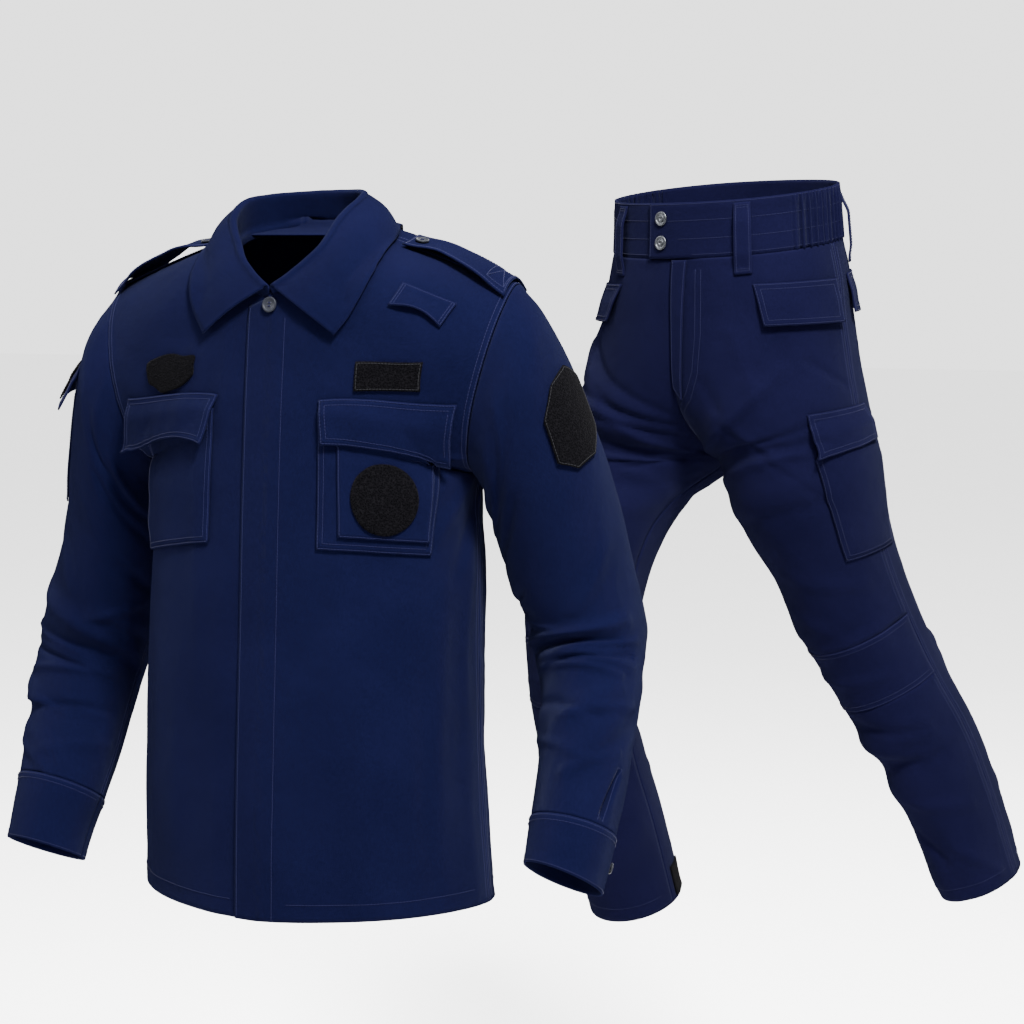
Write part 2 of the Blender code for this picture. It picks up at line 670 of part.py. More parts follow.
CHEST_LEFT = {
    # corners: top inner, top outer, bottom inner, bottom outer
    "pocket": ((0.222, 4.55), (0.780, 3.75), (0.2055, 6.13), (0.664, 6.07)),
    "flap": ((0.2306, 4.330), (0.923, 2.860), (0.2286, 5.060), (0.882, 4.165)),
    "panel": ((0.2907, 4.85), (0.700, 4.45), (0.2882, 5.995), (0.652, 5.94)),
    "name": ((0.4135, 3.306), (0.712, 2.539), (0.400, 3.846), (0.735, 3.040)),
    "tab": ((0.4311, 1.503), (0.762, 1.292), (0.4286, 2.058), (0.7243, 1.848)),
}

CHEST_RIGHT = {
    "pocket": ((0.245, 4.50), (0.800, 3.85), (0.2231, 6.115), (0.702, 6.160)),
    "flap": ((0.2306, 4.267), (0.878, 2.985), (0.262, 5.090), (0.970, 3.810)),
}

ROUND_PATCH = (0.469, 5.525, 0.133, 0.395, -0.066)
SHIELD = (
    # u, v round the patch
    (0.684, 2.750), (0.600, 2.800), (0.524, 2.930), (0.450, 3.170), (0.381, 3.321),
    (0.384, 3.490), (0.389, 3.651), (0.460, 3.690), (0.534, 3.606), (0.597, 3.501),
    (0.650, 3.270), (0.694, 3.065),
)


def stack(*layers):
    """Lift of an outer face over these thicknesses, with air under each."""
    return sum(layers) + LAY * len(layers)


def build_chest(side, sheet, table):
    flip = side == "right"
    pocket = stack(CLOTH) + 0.0010

    def pocket_lift(s, t):
        return pocket + 0.0015 * np.sin(np.pi * s) * np.sin(np.pi * t) ** 0.7

    def flap_lift(s, t):
        stand = 0.006 + 0.010 * s * s if flip else 0.0025
        return stack(DOUBLE) + smooth(t / 0.4) * (stack(CLOTH, CLOTH) + 0.0024) + stand * t**3

    body = spread(sheet, table["pocket"], 8, 6, pocket_lift)
    cloth(f"chest_pocket_{side}", [body], CLOTH, "jacket_navy", sheet.out)
    flap = spread(sheet, table["flap"], 10, 4, flap_lift, bow=0.0 if flip else 0.15)
    cloth(f"chest_flap_{side}", [flap], DOUBLE, "jacket_navy", sheet.out)


def rounds(sheet, outline, lift, shares):
    """Rings of points on a sheet, from the middle of a closed outline of (u, v) out to it."""
    outline = np.array(list(outline) + [outline[0]], float)
    middle = outline[:-1].mean(0)
    uv = middle + (outline - middle)[None] * np.array(shares)[:, None, None]
    return sheet.at(uv[..., 0], uv[..., 1], lift)


def build_chest_trim(left, right):
    over_pocket = stack(CLOTH) + 0.0026
    panel = spread(left, CHEST_LEFT["panel"], 7, 6, level(over_pocket + stack(CLOTH)))
    cloth("badge_panel_left", [panel], CLOTH, "jacket_navy", left.out)
    u, v, wide, high, slant = ROUND_PATCH
    circle = [(u + wide * math.cos(a), v + high * math.sin(a) + slant * math.cos(a))
              for a in np.linspace(0, 2 * math.pi, 21)[:-1]]
    grid = rounds(left, circle, over_pocket + stack(CLOTH, PATCH) + 0.0003, (0, 0.4, 0.75, 1))
    cloth("patch_round", [grid[:, ::-1]], PATCH, "loop_black", left.out)
    name = spread(left, CHEST_LEFT["name"], 5, 2, level(stack(PATCH) + 0.0005))
    cloth("patch_name", [name], PATCH, "loop_black", left.out)
    grid = rounds(right, SHIELD, stack(PATCH) + 0.0003, (0, 0.5, 1))
    cloth("patch_shield", [grid], PATCH, "loop_black", right.out)
    tab = spread(left, CHEST_LEFT["tab"], 7, 2, lambda s, t: stack(CLOTH) + 0.0014 + 0.005
                 * np.sin(np.pi * s) * smooth((t - 0.2) / 0.8))
    cloth("chest_tab", [tab], CLOTH, "jacket_navy", left.out)
    at = left.at(0.001, 3.16)
    add_button("button_neck", at, left.at(0.001, 3.16, 1) - at, BUTTON, 0.0032, "button_plastic")


# Sleeve patches, the right sleeve's pocket and the cuff buttons. u is turns from the outside.


def cut_corners(share):
    """Draws the ends in over the first and last of the rows, which cuts a panel's corners off."""
    def ends(t):
        k = max(0.0, 1 - t / 0.22, 1 - (1 - t) / 0.22) * share
        return k, k
    return ends


def build_sleeve_trim(sleeves, cuffs):
    left, right = sleeves
    patch = spread(left, ((0.012, 1.69), (0.168, 1.69), (0.012, 2.86), (0.168, 2.86)), 5, 6,
                   level(stack(PATCH) + 0.0025), ends=cut_corners(0.3))
    cloth("patch_sleeve_left", [patch], PATCH, "loop_black", left.out)
    pocket = spread(right, ((-0.095, 1.92), (0.120, 1.80), (-0.095, 3.70), (0.120, 3.60)), 6, 7,
                    lambda s, t: stack(CLOTH) + 0.003 * np.sin(np.pi * s) * np.sin(np.pi * t))
    cloth("sleeve_pocket_right", [pocket], CLOTH, "jacket_navy", right.out)

    def stand_off(s, t):
        return stack(DOUBLE) + 0.0006 + smooth(t / 0.4) * 0.0045 + 0.012 * t * t

    flap = spread(right, ((-0.105, 1.75), (0.130, 1.60), (-0.105, 2.38), (0.130, 2.23)), 6, 5,
                  stand_off)
    cloth("sleeve_flap_right", [flap], DOUBLE, "jacket_navy", right.out)

    def on_flap(s, t):
        t = 0.12 + 0.8 * t
        return stand_off(s, t) + stack(PATCH) + 0.0006

    patch = spread(right, ((-0.080, 1.81), (0.105, 1.69), (-0.080, 2.315), (0.105, 2.195)), 6,
                   4, on_flap)
    cloth("patch_sleeve_right", [patch], PATCH, "loop_black", right.out)
    for side, cuff in zip(("left", "right"), cuffs):
        row = (cuff.vs[0] + cuff.vs[-1]) / 2
        at = cuff.at(0.92, row, CUFF_EASE)
        add_button(f"cuff_button_{side}", at, cuff.at(0.92, row, 1) - cuff.at(0.92, row),
                   CUFF_BUTTON, 0.0026, "button_plastic")


# Trousers, in their own frame: origin at the middle of the waist, z up before they are turned

WAIST_RING = (
    # middle z | half width | half depth | lean to the front
    (0.000, 0.157, 0.118, 0.180),
    (-0.035, 0.158, 0.120, 0.180),
    (-0.0695, 0.160, 0.1225, 0.180),
)

LEG_LEFT = (
    # z, inner x, outer x, share past the middle, middle y, hold, half depth, lean x, lean y
    (-0.070, 0.0, 0.160, 0.00, 0.000, 0.0, 0.1225, 0.00, 0.180),
    (-0.110, 0.0, 0.168, 0.00, 0.000, 0.0, 0.127, 0.00, 0.140),
    (-0.165, 0.0, 0.173, 0.04, 0.000, 0.0, 0.129, 0.00, 0.090),
    (-0.225, 0.0, 0.180, 0.15, 0.002, 0.0, 0.130, 0.00, 0.050),
    (-0.275, 0.0, 0.186, 0.42, 0.006, 0.0, 0.127, 0.00, 0.020),
    (-0.316, 0.0, 0.190, 0.78, 0.012, 0.0, 0.121, 0.00, 0.000),
    (-0.346, 0.001, 0.194, 1.00, 0.018, 0.0, 0.113, 0.00, 0.000),
    (-0.395, 0.015, 0.197, 1.00, 0.026, 0.5, 0.103, 0.06, 0.120),
    (-0.480, 0.043, 0.197, 1.00, 0.052, 1.0, 0.086, 0.15, 0.300),
    (-0.570, 0.074, 0.210, 1.00, 0.085, 1.0, 0.075, 0.25, 0.380),
    (-0.655, 0.107, 0.232, 1.00, 0.118, 1.0, 0.069, 0.30, 0.400),
    (-0.735, 0.138, 0.257, 1.00, 0.155, 1.0, 0.065, 0.30, 0.420),
    (-0.828, 0.161, 0.274, 1.00, 0.192, 1.0, 0.062, 0.22, 0.400),
    (-0.927, 0.183, 0.287, 1.00, 0.225, 1.0, 0.058, 0.20, 0.360),
)

LEG_RIGHT = (
    (-0.070, 0.0, 0.160, 0.00, 0.000, 0.0, 0.1225, 0.00, 0.180),
    (-0.110, 0.0, 0.170, 0.00, 0.000, 0.0, 0.127, 0.00, 0.140),
    (-0.165, 0.0, 0.181, 0.04, -0.002, 0.0, 0.129, 0.00, 0.090),
    (-0.225, 0.0, 0.198, 0.15, -0.010, 0.0, 0.130, 0.00, 0.050),
    (-0.275, 0.0, 0.208, 0.42, -0.022, 0.0, 0.127, 0.00, 0.020),
    (-0.316, 0.0, 0.216, 0.78, -0.040, 0.0, 0.121, 0.00, 0.000),
    (-0.346, 0.001, 0.218, 1.00, -0.062, 0.0, 0.113, 0.00, 0.000),
    (-0.395, 0.043, 0.219, 1.00, -0.100, 0.8, 0.103, 0.10, -0.150),
    (-0.465, 0.056, 0.218, 1.00, -0.137, 1.0, 0.088, 0.10, -0.300),
    (-0.575, 0.062, 0.206, 1.00, -0.160, 1.0, 0.075, 0.00, -0.080),
    (-0.660, 0.078, 0.214, 1.00, -0.145, 1.0, 0.070, 0.05, 0.150),
    (-0.740, 0.084, 0.218, 1.00, -0.118, 1.0, 0.067, 0.00, 0.280),
    (-0.830, 0.081, 0.209, 1.00, -0.085, 1.0, 0.064, 0.00, 0.340),
    (-0.947, 0.083, 0.209, 1.00, -0.041, 1.0, 0.062, 0.00, 0.350),
)

LEG_FOLDS_LEFT = (
    # turn, row to turn, row: 0 is the outside, 0.25 the front, 0.5 the inside, -0.25 the back
    (0.46, 5.8, 0.30, 3.4, 0.020, 0.0055),
    (0.45, 6.6, 0.14, 5.2, 0.022, -0.0060),
    (0.46, 7.3, 0.16, 6.6, 0.019, 0.0050),
    (0.40, 8.1, 0.20, 7.6, 0.022, -0.0045),
    (0.42, 8.7, 0.10, 9.1, 0.018, 0.0060),
    (0.44, 10.6, 0.12, 10.5, 0.017, 0.0070),
    (0.40, 11.0, 0.16, 10.8, 0.016, -0.0060),
    (0.46, 11.5, 0.22, 11.1, 0.017, 0.0050),
    (0.12, 12.4, 0.36, 12.7, 0.018, 0.0050),
    (0.30, 11.8, 0.20, 12.8, 0.022, -0.0045),
    (-0.40, 9.4, -0.12, 9.9, 0.020, 0.0060),
    (-0.42, 10.1, -0.14, 10.4, 0.018, -0.0055),
    (-0.44, 6.4, -0.18, 5.2, 0.024, 0.0055),
    (-0.38, 12.3, -0.14, 12.6, 0.020, 0.0045),
)

LEG_FOLDS_RIGHT = (
    (0.10, 2.2, 0.38, 5.2, 0.021, 0.0075),
    (0.06, 3.4, 0.40, 5.9, 0.020, -0.0070),
    (0.14, 5.6, 0.47, 6.1, 0.019, 0.0060),
    (0.12, 6.9, 0.46, 6.6, 0.018, -0.0055),
    (0.16, 7.7, 0.46, 7.1, 0.018, 0.0055),
    (0.20, 8.4, 0.44, 8.2, 0.019, -0.0050),
    (0.44, 10.4, 0.20, 10.9, 0.017, 0.0060),
    (0.46, 11.2, 0.24, 11.3, 0.017, -0.0055),
    (0.44, 12.0, 0.16, 12.5, 0.018, 0.0055),
    (-0.40, 9.6, -0.12, 9.9, 0.020, 0.0060),
    (-0.42, 10.4, -0.14, 10.6, 0.018, -0.0055),
    (-0.44, 6.4, -0.18, 5.2, 0.024, 0.0055),
)


def wave(x, y, z):
    """How far the waist's edge dips at the left and rises at the right, fading out below it."""
    angle = np.arctan2(y, x)
    return -0.0055 * np.cos(angle - math.radians(40)) * (1 - smooth((-0.07 - z) / 0.12))


def in_place(points):
    """From the trousers' frame to the row's: tipped about y, turned about z and moved."""
    c, s, a, b = math.cos(TURN), math.sin(TURN), math.cos(TIP), math.sin(TIP)
    turn = np.array(((c, -s, 0), (s, c, 0), (0, 0, 1)))
    tip = np.array(((a, 0, -b), (0, 1, 0), (b, 0, a)))
    return np.asarray(points) @ (turn @ tip).T + vec(*WAIST_AT)


def leg_shape(table, back, flip):
    """shape(u, v): u runs from the inside or centre seam, 0, to the outside seam, 1."""

    def shape(u, v):
        z, inner, outer, past, mid, hold, deep, lean_x, lean_y = np.moveaxis(
            through(table, v), -1, 0)
        past, hold, inner = np.clip(past, 0, 1), np.clip(hold, 0, 1), np.maximum(inner, 0)
        half = (outer - inner) / (1 + past)
        centre = inner + past * half
        angle = np.arccos(-past) * (1 - u)
        x = centre + half * np.cos(angle)
        y = (1 if back else -1) * deep * np.sin(angle)
        share = np.clip((x - inner) / np.maximum(outer - inner, 1e-6), 0, 1)
        height = z + lean_x * (x - centre) + lean_y * y
        height = height + wave(-x if flip else x, y, z)
        points = np.stack([x, y + mid * (hold + (1 - hold) * share), height], -1)
        return mirrored(points) if flip else points

    return shape


def leg_folds(table, back):
    """The leg's folds read on a panel, whose u = 0 is turn 0.5 and u = 1 turn 0."""
    sign = -1 if back else 1
    folds = Folds(table, 0.50, 0.072)
    return lambda u, v: folds(sign * 0.5 * (1 - u), v) * smooth((v - 0.3) / 1.5)


LEG_US = steps((0, 1, 10))


def leg_rows(start, end, back=False):
    lower = ((9, 13, 6),) if back else ((9, 12, 8), (12, 13, 2))
    lines = steps((0, 2, 3), (2, 6, 5), (6, 9, 6), *lower)
    inside = lines[(lines > start + 0.08) & (lines < end - 0.08)]
    return np.concatenate([[start], inside, [end]])


def build_leg(side, table, fold_table):
    flip = side == "right"
    sheets = {}
    for back in (False, True):
        out = (1 if back else -1) * (-1 if flip else 1)
        whole = Sheet(leg_shape(table, back, flip), LEG_US, leg_rows(0, HEM_ROW, back), out,
                      folds=leg_folds(fold_table, back))
        sheets["back" if back else "front"] = whole
        cuts = ((("back", 0, HEM_ROW),) if back else
                (("thigh", 0, KNEE_TOP), ("knee", KNEE_TOP, KNEE_END),
                 ("shin", KNEE_END, HEM_ROW)))
        for part, start, end in cuts:
            piece = Sheet(leg_shape(table, back, flip), LEG_US, leg_rows(start, end, back), out,
                          folds=leg_folds(fold_table, back))
            grid = trimmed(piece.points, top=SEAM * 2, bottom=SEAM * 2, left=SEAM * 2.7,
                           right=SEAM * 2.7)
            centre = piece.vs < 6.4
            grid[centre, 0, 0] = np.where(
                np.abs(grid[centre, 0, 0]) < 0.0004, (-1 if flip else 1) * 0.0004,
                grid[centre, 0, 0])
            name = f"back_leg_{side}" if back else f"front_{part}_{side}"
            cloth(name, [grid], CLOTH, "trouser_navy", out, in_place)
    return sheets


BAND_OVERLAP = 0.062


def waist_shape(u, v):
    """The waistband from its top end, u = 0 at the front, round the left side to under itself."""
    z, wide, deep, lean = np.moveaxis(through(WAIST_RING, v), -1, 0)
    start = math.radians(-103)
    turn = 2 * math.pi * (1 + BAND_OVERLAP)
    angle = start + turn * u
    outer = 0.0034 * smooth(1 - (u - 0.02) / 0.07)
    inner = -0.0006 * smooth((u - 0.9) / 0.05)
    side = np.minimum(np.abs(np.cos(angle)), 1)
    near = smooth((side - 0.86) / 0.06)
    ripple = 0.0022 * near * np.cos(angle * 2 * math.pi * 0.15 / 0.0115) * np.clip(v * 2, 0, 1)
    grow = outer + inner + ripple
    x = (wide + grow) * np.cos(angle)
    y = (deep + grow) * np.sin(angle)
    return np.stack([x, y, z + lean * y + wave(x, y, z)], -1)


def build_waistband():
    us = steps((0, 0.17, 6), (0.17, 0.35, 26), (0.35, 0.62, 8), (0.62, 0.80, 26), (0.80, 1, 8))
    band = Sheet(waist_shape, us, steps((0, 2, 3)), -1)
    cloth("waistband", [band.points], BAND, "trouser_navy", -1, in_place)
    return band


def joined(front, back):
    """One sheet round the outside seam: u = 0 to 1 is the front, 1 to 2 the back, turned about."""
    side = Sheet.__new__(Sheet)
    rows = front.vs <= 9
    side.us = np.concatenate([front.us, 2 - back.us[::-1][1:]])
    side.vs, side.out, side.ring = front.vs[rows], front.out, False
    side.points = np.concatenate(
        [front.points[rows], back.points[back.vs <= 9][:, ::-1][:, 1:]], 1)
    side.normals = side.grid_normals(False)
    return side


LOOPS = {
    # angle round the waist, 0 at the left side and -90 at the front | how far it stands off
    "front_left": (-55, 0.006),
    "front_right": (-126, 0.006),
    "side_left": (22, 0.008),
    "side_right": (158, 0.008),
    "back": (90, 0.006),
}
LOOP_WIDTH, LOOP_LENGTH = 0.020, 0.088
LOOP_LIFT = 0.0005


def band_point(angle, drop, off):
    """A point round the waist, this far below the band's top edge and outside it."""
    z, wide, deep, lean = through(WAIST_RING, np.minimum(drop / 0.0695, 1) * 2)
    x, y = (wide + off) * math.cos(angle), (deep + off) * math.sin(angle)
    return vec(x, y, -drop + lean * y + wave(x, y, -drop))


def build_loops():
    for name, (degrees, stand) in LOOPS.items():
        angle = math.radians(degrees)
        grid = np.empty((9, 4, 3))
        for j, t in enumerate(np.linspace(0, 1, 9)):
            drop = (0.014 if name == "side_left" else 0.004) + LOOP_LENGTH * t
            swell = 0.010 * smooth((drop - 0.0695) / 0.05)
            off = (DOUBLE + LOOP_LIFT + (0.0006 if "side" in name else 0) + swell
                   + stand * smooth(min(t, 1 - t) / 0.3))
            for i, s in enumerate((-1, -1 / 3, 1 / 3, 1)):
                grid[j, i] = band_point(angle + s * LOOP_WIDTH / 2 / 0.14, drop, off)
        cloth(f"belt_loop_{name}", [grid], DOUBLE, "trouser_navy", -1, in_place)


FLY = ((0.004, 0.06), (0.090, 0.06), (0.004, 3.40), (0.052, 3.80))
FRONT_FLAP = {
    "left": ((0.43, 1.00), (0.965, 1.12), (0.48, 2.08), (0.965, 2.17)),
    "right": ((0.36, 0.92), (0.940, 1.04), (0.44, 1.88), (0.950, 1.92)),
}
BACK_FLAP = ((0.40, 1.05), (0.90, 1.05), (0.40, 2.00), (0.90, 2.00))
FLAP_LIFT = {"left": 0.0003, "right": 0.0010}
CARGO_POCKET = ((0.750, 4.95), (1.150, 4.65), (0.772, 7.88), (1.090, 7.98))
CARGO_FLAP = ((0.690, 4.29), (1.080, 4.06), (0.755, 6.00), (1.060, 5.25))
HEM_TAB = ((0.05, 12.62), (0.20, 12.62), (0.05, 12.96), (0.20, 12.96))


def build_trouser_trim(legs, band):
    """Fly, pockets, flaps, loops, snaps and hem tabs."""
    fly = spread(legs["left"]["front"], FLY, 3, 9, level(stack(CLOTH) + 0.0014))
    cloth("fly", [fly], CLOTH, "trouser_navy", -1, in_place)

    def flap_lift(s, t):
        return stack(DOUBLE) + 0.004 * smooth(t / 0.6) + 0.003 * t * t

    def cargo_lift(s, t):
        return stack(CLOTH) + 0.0009 + 0.009 * np.sin(np.pi * s) ** 0.6 * np.sin(np.pi * t) ** 0.5

    def cargo_flap_lift(s, t):
        return stack(DOUBLE) + FLAP_LIFT[side] + smooth(t / 0.5) * 0.009 + 0.002 * t

    for side in ("left", "right"):
        front, back = legs[side]["front"], legs[side]["back"]
        outside = joined(front, back)
        pieces = (
            (f"front_flap_{side}", front, FRONT_FLAP[side], 8, 4, flap_lift, DOUBLE),
            (f"back_flap_{side}", back, BACK_FLAP, 7, 4, flap_lift, DOUBLE),
            (f"cargo_pocket_{side}", outside, CARGO_POCKET, 8, 7, cargo_lift, CLOTH),
            (f"cargo_flap_{side}", outside, CARGO_FLAP, 9, 4, cargo_flap_lift, DOUBLE),
        )
        for name, sheet, corners, columns, rows, lift, wall in pieces:
            cloth(name, [spread(sheet, corners, columns, rows, lift)], wall, "trouser_navy",
                  sheet.out, in_place)
        cloth(f"hem_tab_{side}", [spread(back, HEM_TAB, 3, 2, level(stack(PATCH)))], PATCH,
              "loop_black", back.out, in_place)
    build_loops()
    for name, v in (("upper", 0.55), ("lower", 1.42)):
        at = band.at(0.020, v)
        add_button(f"snap_{name}", at, band.at(0.020, v, 1) - at, SNAP, 0.0030, "snap_metal",
                   0.0014, in_place)


def build():
    clear_scene()
    collection = bpy.data.collections.new("work_uniform")
    bpy.context.scene.collection.children.link(collection)
    make_materials()
    left, right, back_left, back_right = build_body()
    sleeve_left, cuff_left = build_sleeve("left", SLEEVE_LEFT, ELBOW_LEFT)
    sleeve_right, cuff_right = build_sleeve("right", SLEEVE_RIGHT, ELBOW_RIGHT)
    build_collar((left, right, back_left, back_right))
    build_straps("left", left, back_left)
    build_straps("right", right, back_right)
    build_chest("left", left, CHEST_LEFT)
    build_chest("right", right, CHEST_RIGHT)
    build_chest_trim(left, right)
    build_sleeve_trim((sleeve_left, sleeve_right), (cuff_left, cuff_right))
    legs = {
        "left": build_leg("left", LEG_LEFT, LEG_FOLDS_LEFT),
        "right": build_leg("right", LEG_RIGHT, LEG_FOLDS_RIGHT),
    }
    build_trouser_trim(legs, build_waistband())


build()
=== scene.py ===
"""Navy work uniform: woven cloth, creases, sewing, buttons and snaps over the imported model."""

import math
from functools import lru_cache

import bmesh
import bpy
import numpy as np
from mathutils import Matrix, Vector


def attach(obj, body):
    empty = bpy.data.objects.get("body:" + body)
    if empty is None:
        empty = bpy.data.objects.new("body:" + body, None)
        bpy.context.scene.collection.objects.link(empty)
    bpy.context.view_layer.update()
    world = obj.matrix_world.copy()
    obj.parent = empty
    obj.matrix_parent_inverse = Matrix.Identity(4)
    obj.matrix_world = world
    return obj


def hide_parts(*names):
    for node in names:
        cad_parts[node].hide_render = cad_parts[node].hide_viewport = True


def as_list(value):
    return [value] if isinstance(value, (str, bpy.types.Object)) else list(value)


bl_info = {
    "name": "Work uniform",
    "version": (1, 0, 0),
    "blender": (4, 5, 0),
    "location": "View3D > Sidebar > Uniform",
    "description": "Dresses the packed jacket and trousers in cloth, stitches and fastenings",
    "category": "Object",
}

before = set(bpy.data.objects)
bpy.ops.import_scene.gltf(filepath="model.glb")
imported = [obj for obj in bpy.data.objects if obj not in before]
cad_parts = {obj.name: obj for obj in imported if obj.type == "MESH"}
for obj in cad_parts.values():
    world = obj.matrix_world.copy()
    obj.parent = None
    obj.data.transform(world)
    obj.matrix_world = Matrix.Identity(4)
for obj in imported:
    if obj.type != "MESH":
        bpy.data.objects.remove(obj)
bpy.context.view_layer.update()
BODY = "root"

# Sizes shared with the solids, in metres

CLOTH, PATCH, DOUBLE, BAND, LAY = 0.0015, 0.0018, 0.002, 0.0026, 0.0005
ARMHOLE_ROWS = 5
FLY_WIDTH, FLY_DROP = 0.0275, 0.0024
FOLD_RADIUS, COLLAR_TILT, COLLAR_SHIFT = 0.003, 0.06, 0.009
SHOULDER_ARCH = 0.010
BODY_LEAN, HEM_TILT = 0.0035, 0.014
CUFF_ROWS, CUFF_EASE = 2, 0.0007
TURN, TIP = math.radians(-16.5), math.radians(2.3)
WAIST_AT = (0.3075, 0.563, 0.0625)
WAIST_START, WAIST_DEPTH, BAND_OVERLAP = math.radians(-103), 0.0695, 0.062
KNEE_TOP, KNEE_END, HEM_ROW = 9.0, 9.95, 13.0
LOOP_WIDTH, LOOP_LENGTH, LOOP_LIFT = 0.020, 0.088, 0.0005
BUTTON, SMALL_BUTTON, CUFF_BUTTON, SNAP = 0.0088, 0.0078, 0.0062, 0.0092

# Metres across and down that one u and one v stand for, where folds are drawn
BODY_SPAN, SLEEVE_SPAN = (0.22, 0.09), (0.42, 0.055)
LEG_SPAN, FLAP_SPAN = (0.50, 0.072), (0.14, 0.06)

# Finish, in metres: seams, creases and the rows of stitches inside a border
SEAM, SEAM_RISE, PUCKER = 0.00012, 0.0006, 0.00035
PLACKET = 0.047
FINER = 1.5
LATTICE = 64
GATHER_RISE, GATHER_STEP = 0.0018, 0.0062
EDGE, ROW, HEM = 0.0016, 0.0070, 0.0200
LEG_EDGE, LEG_ROW = 0.0018, 0.0075
MERGE = 0.00002
BUTTON_FOOT, SNAP_FOOT = 0.0010, 0.0014
TWILL_STEP, YARN_STEP, WORN_WIDTH = 0.0011, 0.0007, 0.0085
WEAVE_DEPTH, SOFT_DEPTH = 0.0006, 0.0011

# Camera and stage
CAMERA_TURN, CAMERA_PITCH = 23.05, -6.07
CAMERA_BACK, CAMERA_ASIDE, CAMERA_UP = 2.6, 0.2251, -0.04
CAMERA_LENS = 80.0
FLOOR_Z = -1.45
AIM = (0.15, 0.25, -0.4)


def vec(*numbers):
    return np.array(numbers, float)


def unit(vectors):
    return vectors / np.maximum(np.linalg.norm(vectors, axis=-1, keepdims=True), 1e-12)


def smooth(t):
    t = np.clip(t, 0, 1)
    return t * t * (3 - 2 * t)


def cubic(p0, p1, p2, p3, t):
    t = t[..., None]
    return (1 - t) ** 3 * p0 + 3 * (1 - t) ** 2 * t * p1 + 3 * (1 - t) * t * t * p2 + t**3 * p3


def through(values, rows, first=0):
    """A smooth curve through a table's rows, read at these row numbers."""
    values = np.asarray(values, float)
    slope = np.gradient(values, axis=0)
    at = np.clip(np.asarray(rows, float) - first, 0, len(values) - 1)
    i = np.minimum(at.astype(int), len(values) - 2)
    t = (at - i)[..., None]
    a, b = 2 * t**3 - 3 * t**2 + 1, t**3 - 2 * t**2 + t
    return a * values[i] + b * slope[i] + (1 - a) * values[i + 1] + (t**3 - t**2) * slope[i + 1]


def round_through(values, turns):
    """The same on a closed loop of points, where one turn is the whole loop."""
    values = np.asarray(values, float)
    n = len(values)
    wrapped = np.concatenate([values[-2:], values, values[:3]])
    return through(wrapped, (np.asarray(turns) % 1.0) * n + 2)


def steps(*stretches):
    """Grid lines: each stretch is (start, end, cells)."""
    lines = [np.linspace(a, b, n + 1) for a, b, n in stretches]
    return np.unique(np.round(np.concatenate(lines), 6))


class Folds:
    """Soft ridges and troughs: a row is a stroke from (u, v) to (u, v), its width and height."""

    def __init__(self, table, across, down, ring=False):
        self.table, self.across, self.down, self.ring = table, across, down, ring

    def __call__(self, u, v):
        total = np.zeros_like(u)
        for u0, v0, u1, v1, width, height in self.table:
            for turn in (-1, 0, 1) if self.ring else (0,):
                du, dv = (u1 - u0) * self.across, (v1 - v0) * self.down
                pu, pv = (u - u0 + turn) * self.across, (v - v0) * self.down
                length = max(math.hypot(du, dv), 1e-6)
                s = (pu * du + pv * dv) / length**2
                beyond = np.maximum(np.maximum(-s, s - 1), 0) * length
                off = (pv * du - pu * dv) / length
                fade = 1 - 0.5 * np.clip(np.abs(2 * s - 1), 0, 1) ** 2
                total += height * fade * np.exp(-(off**2 + 2 * beyond**2) / width**2)
        return total


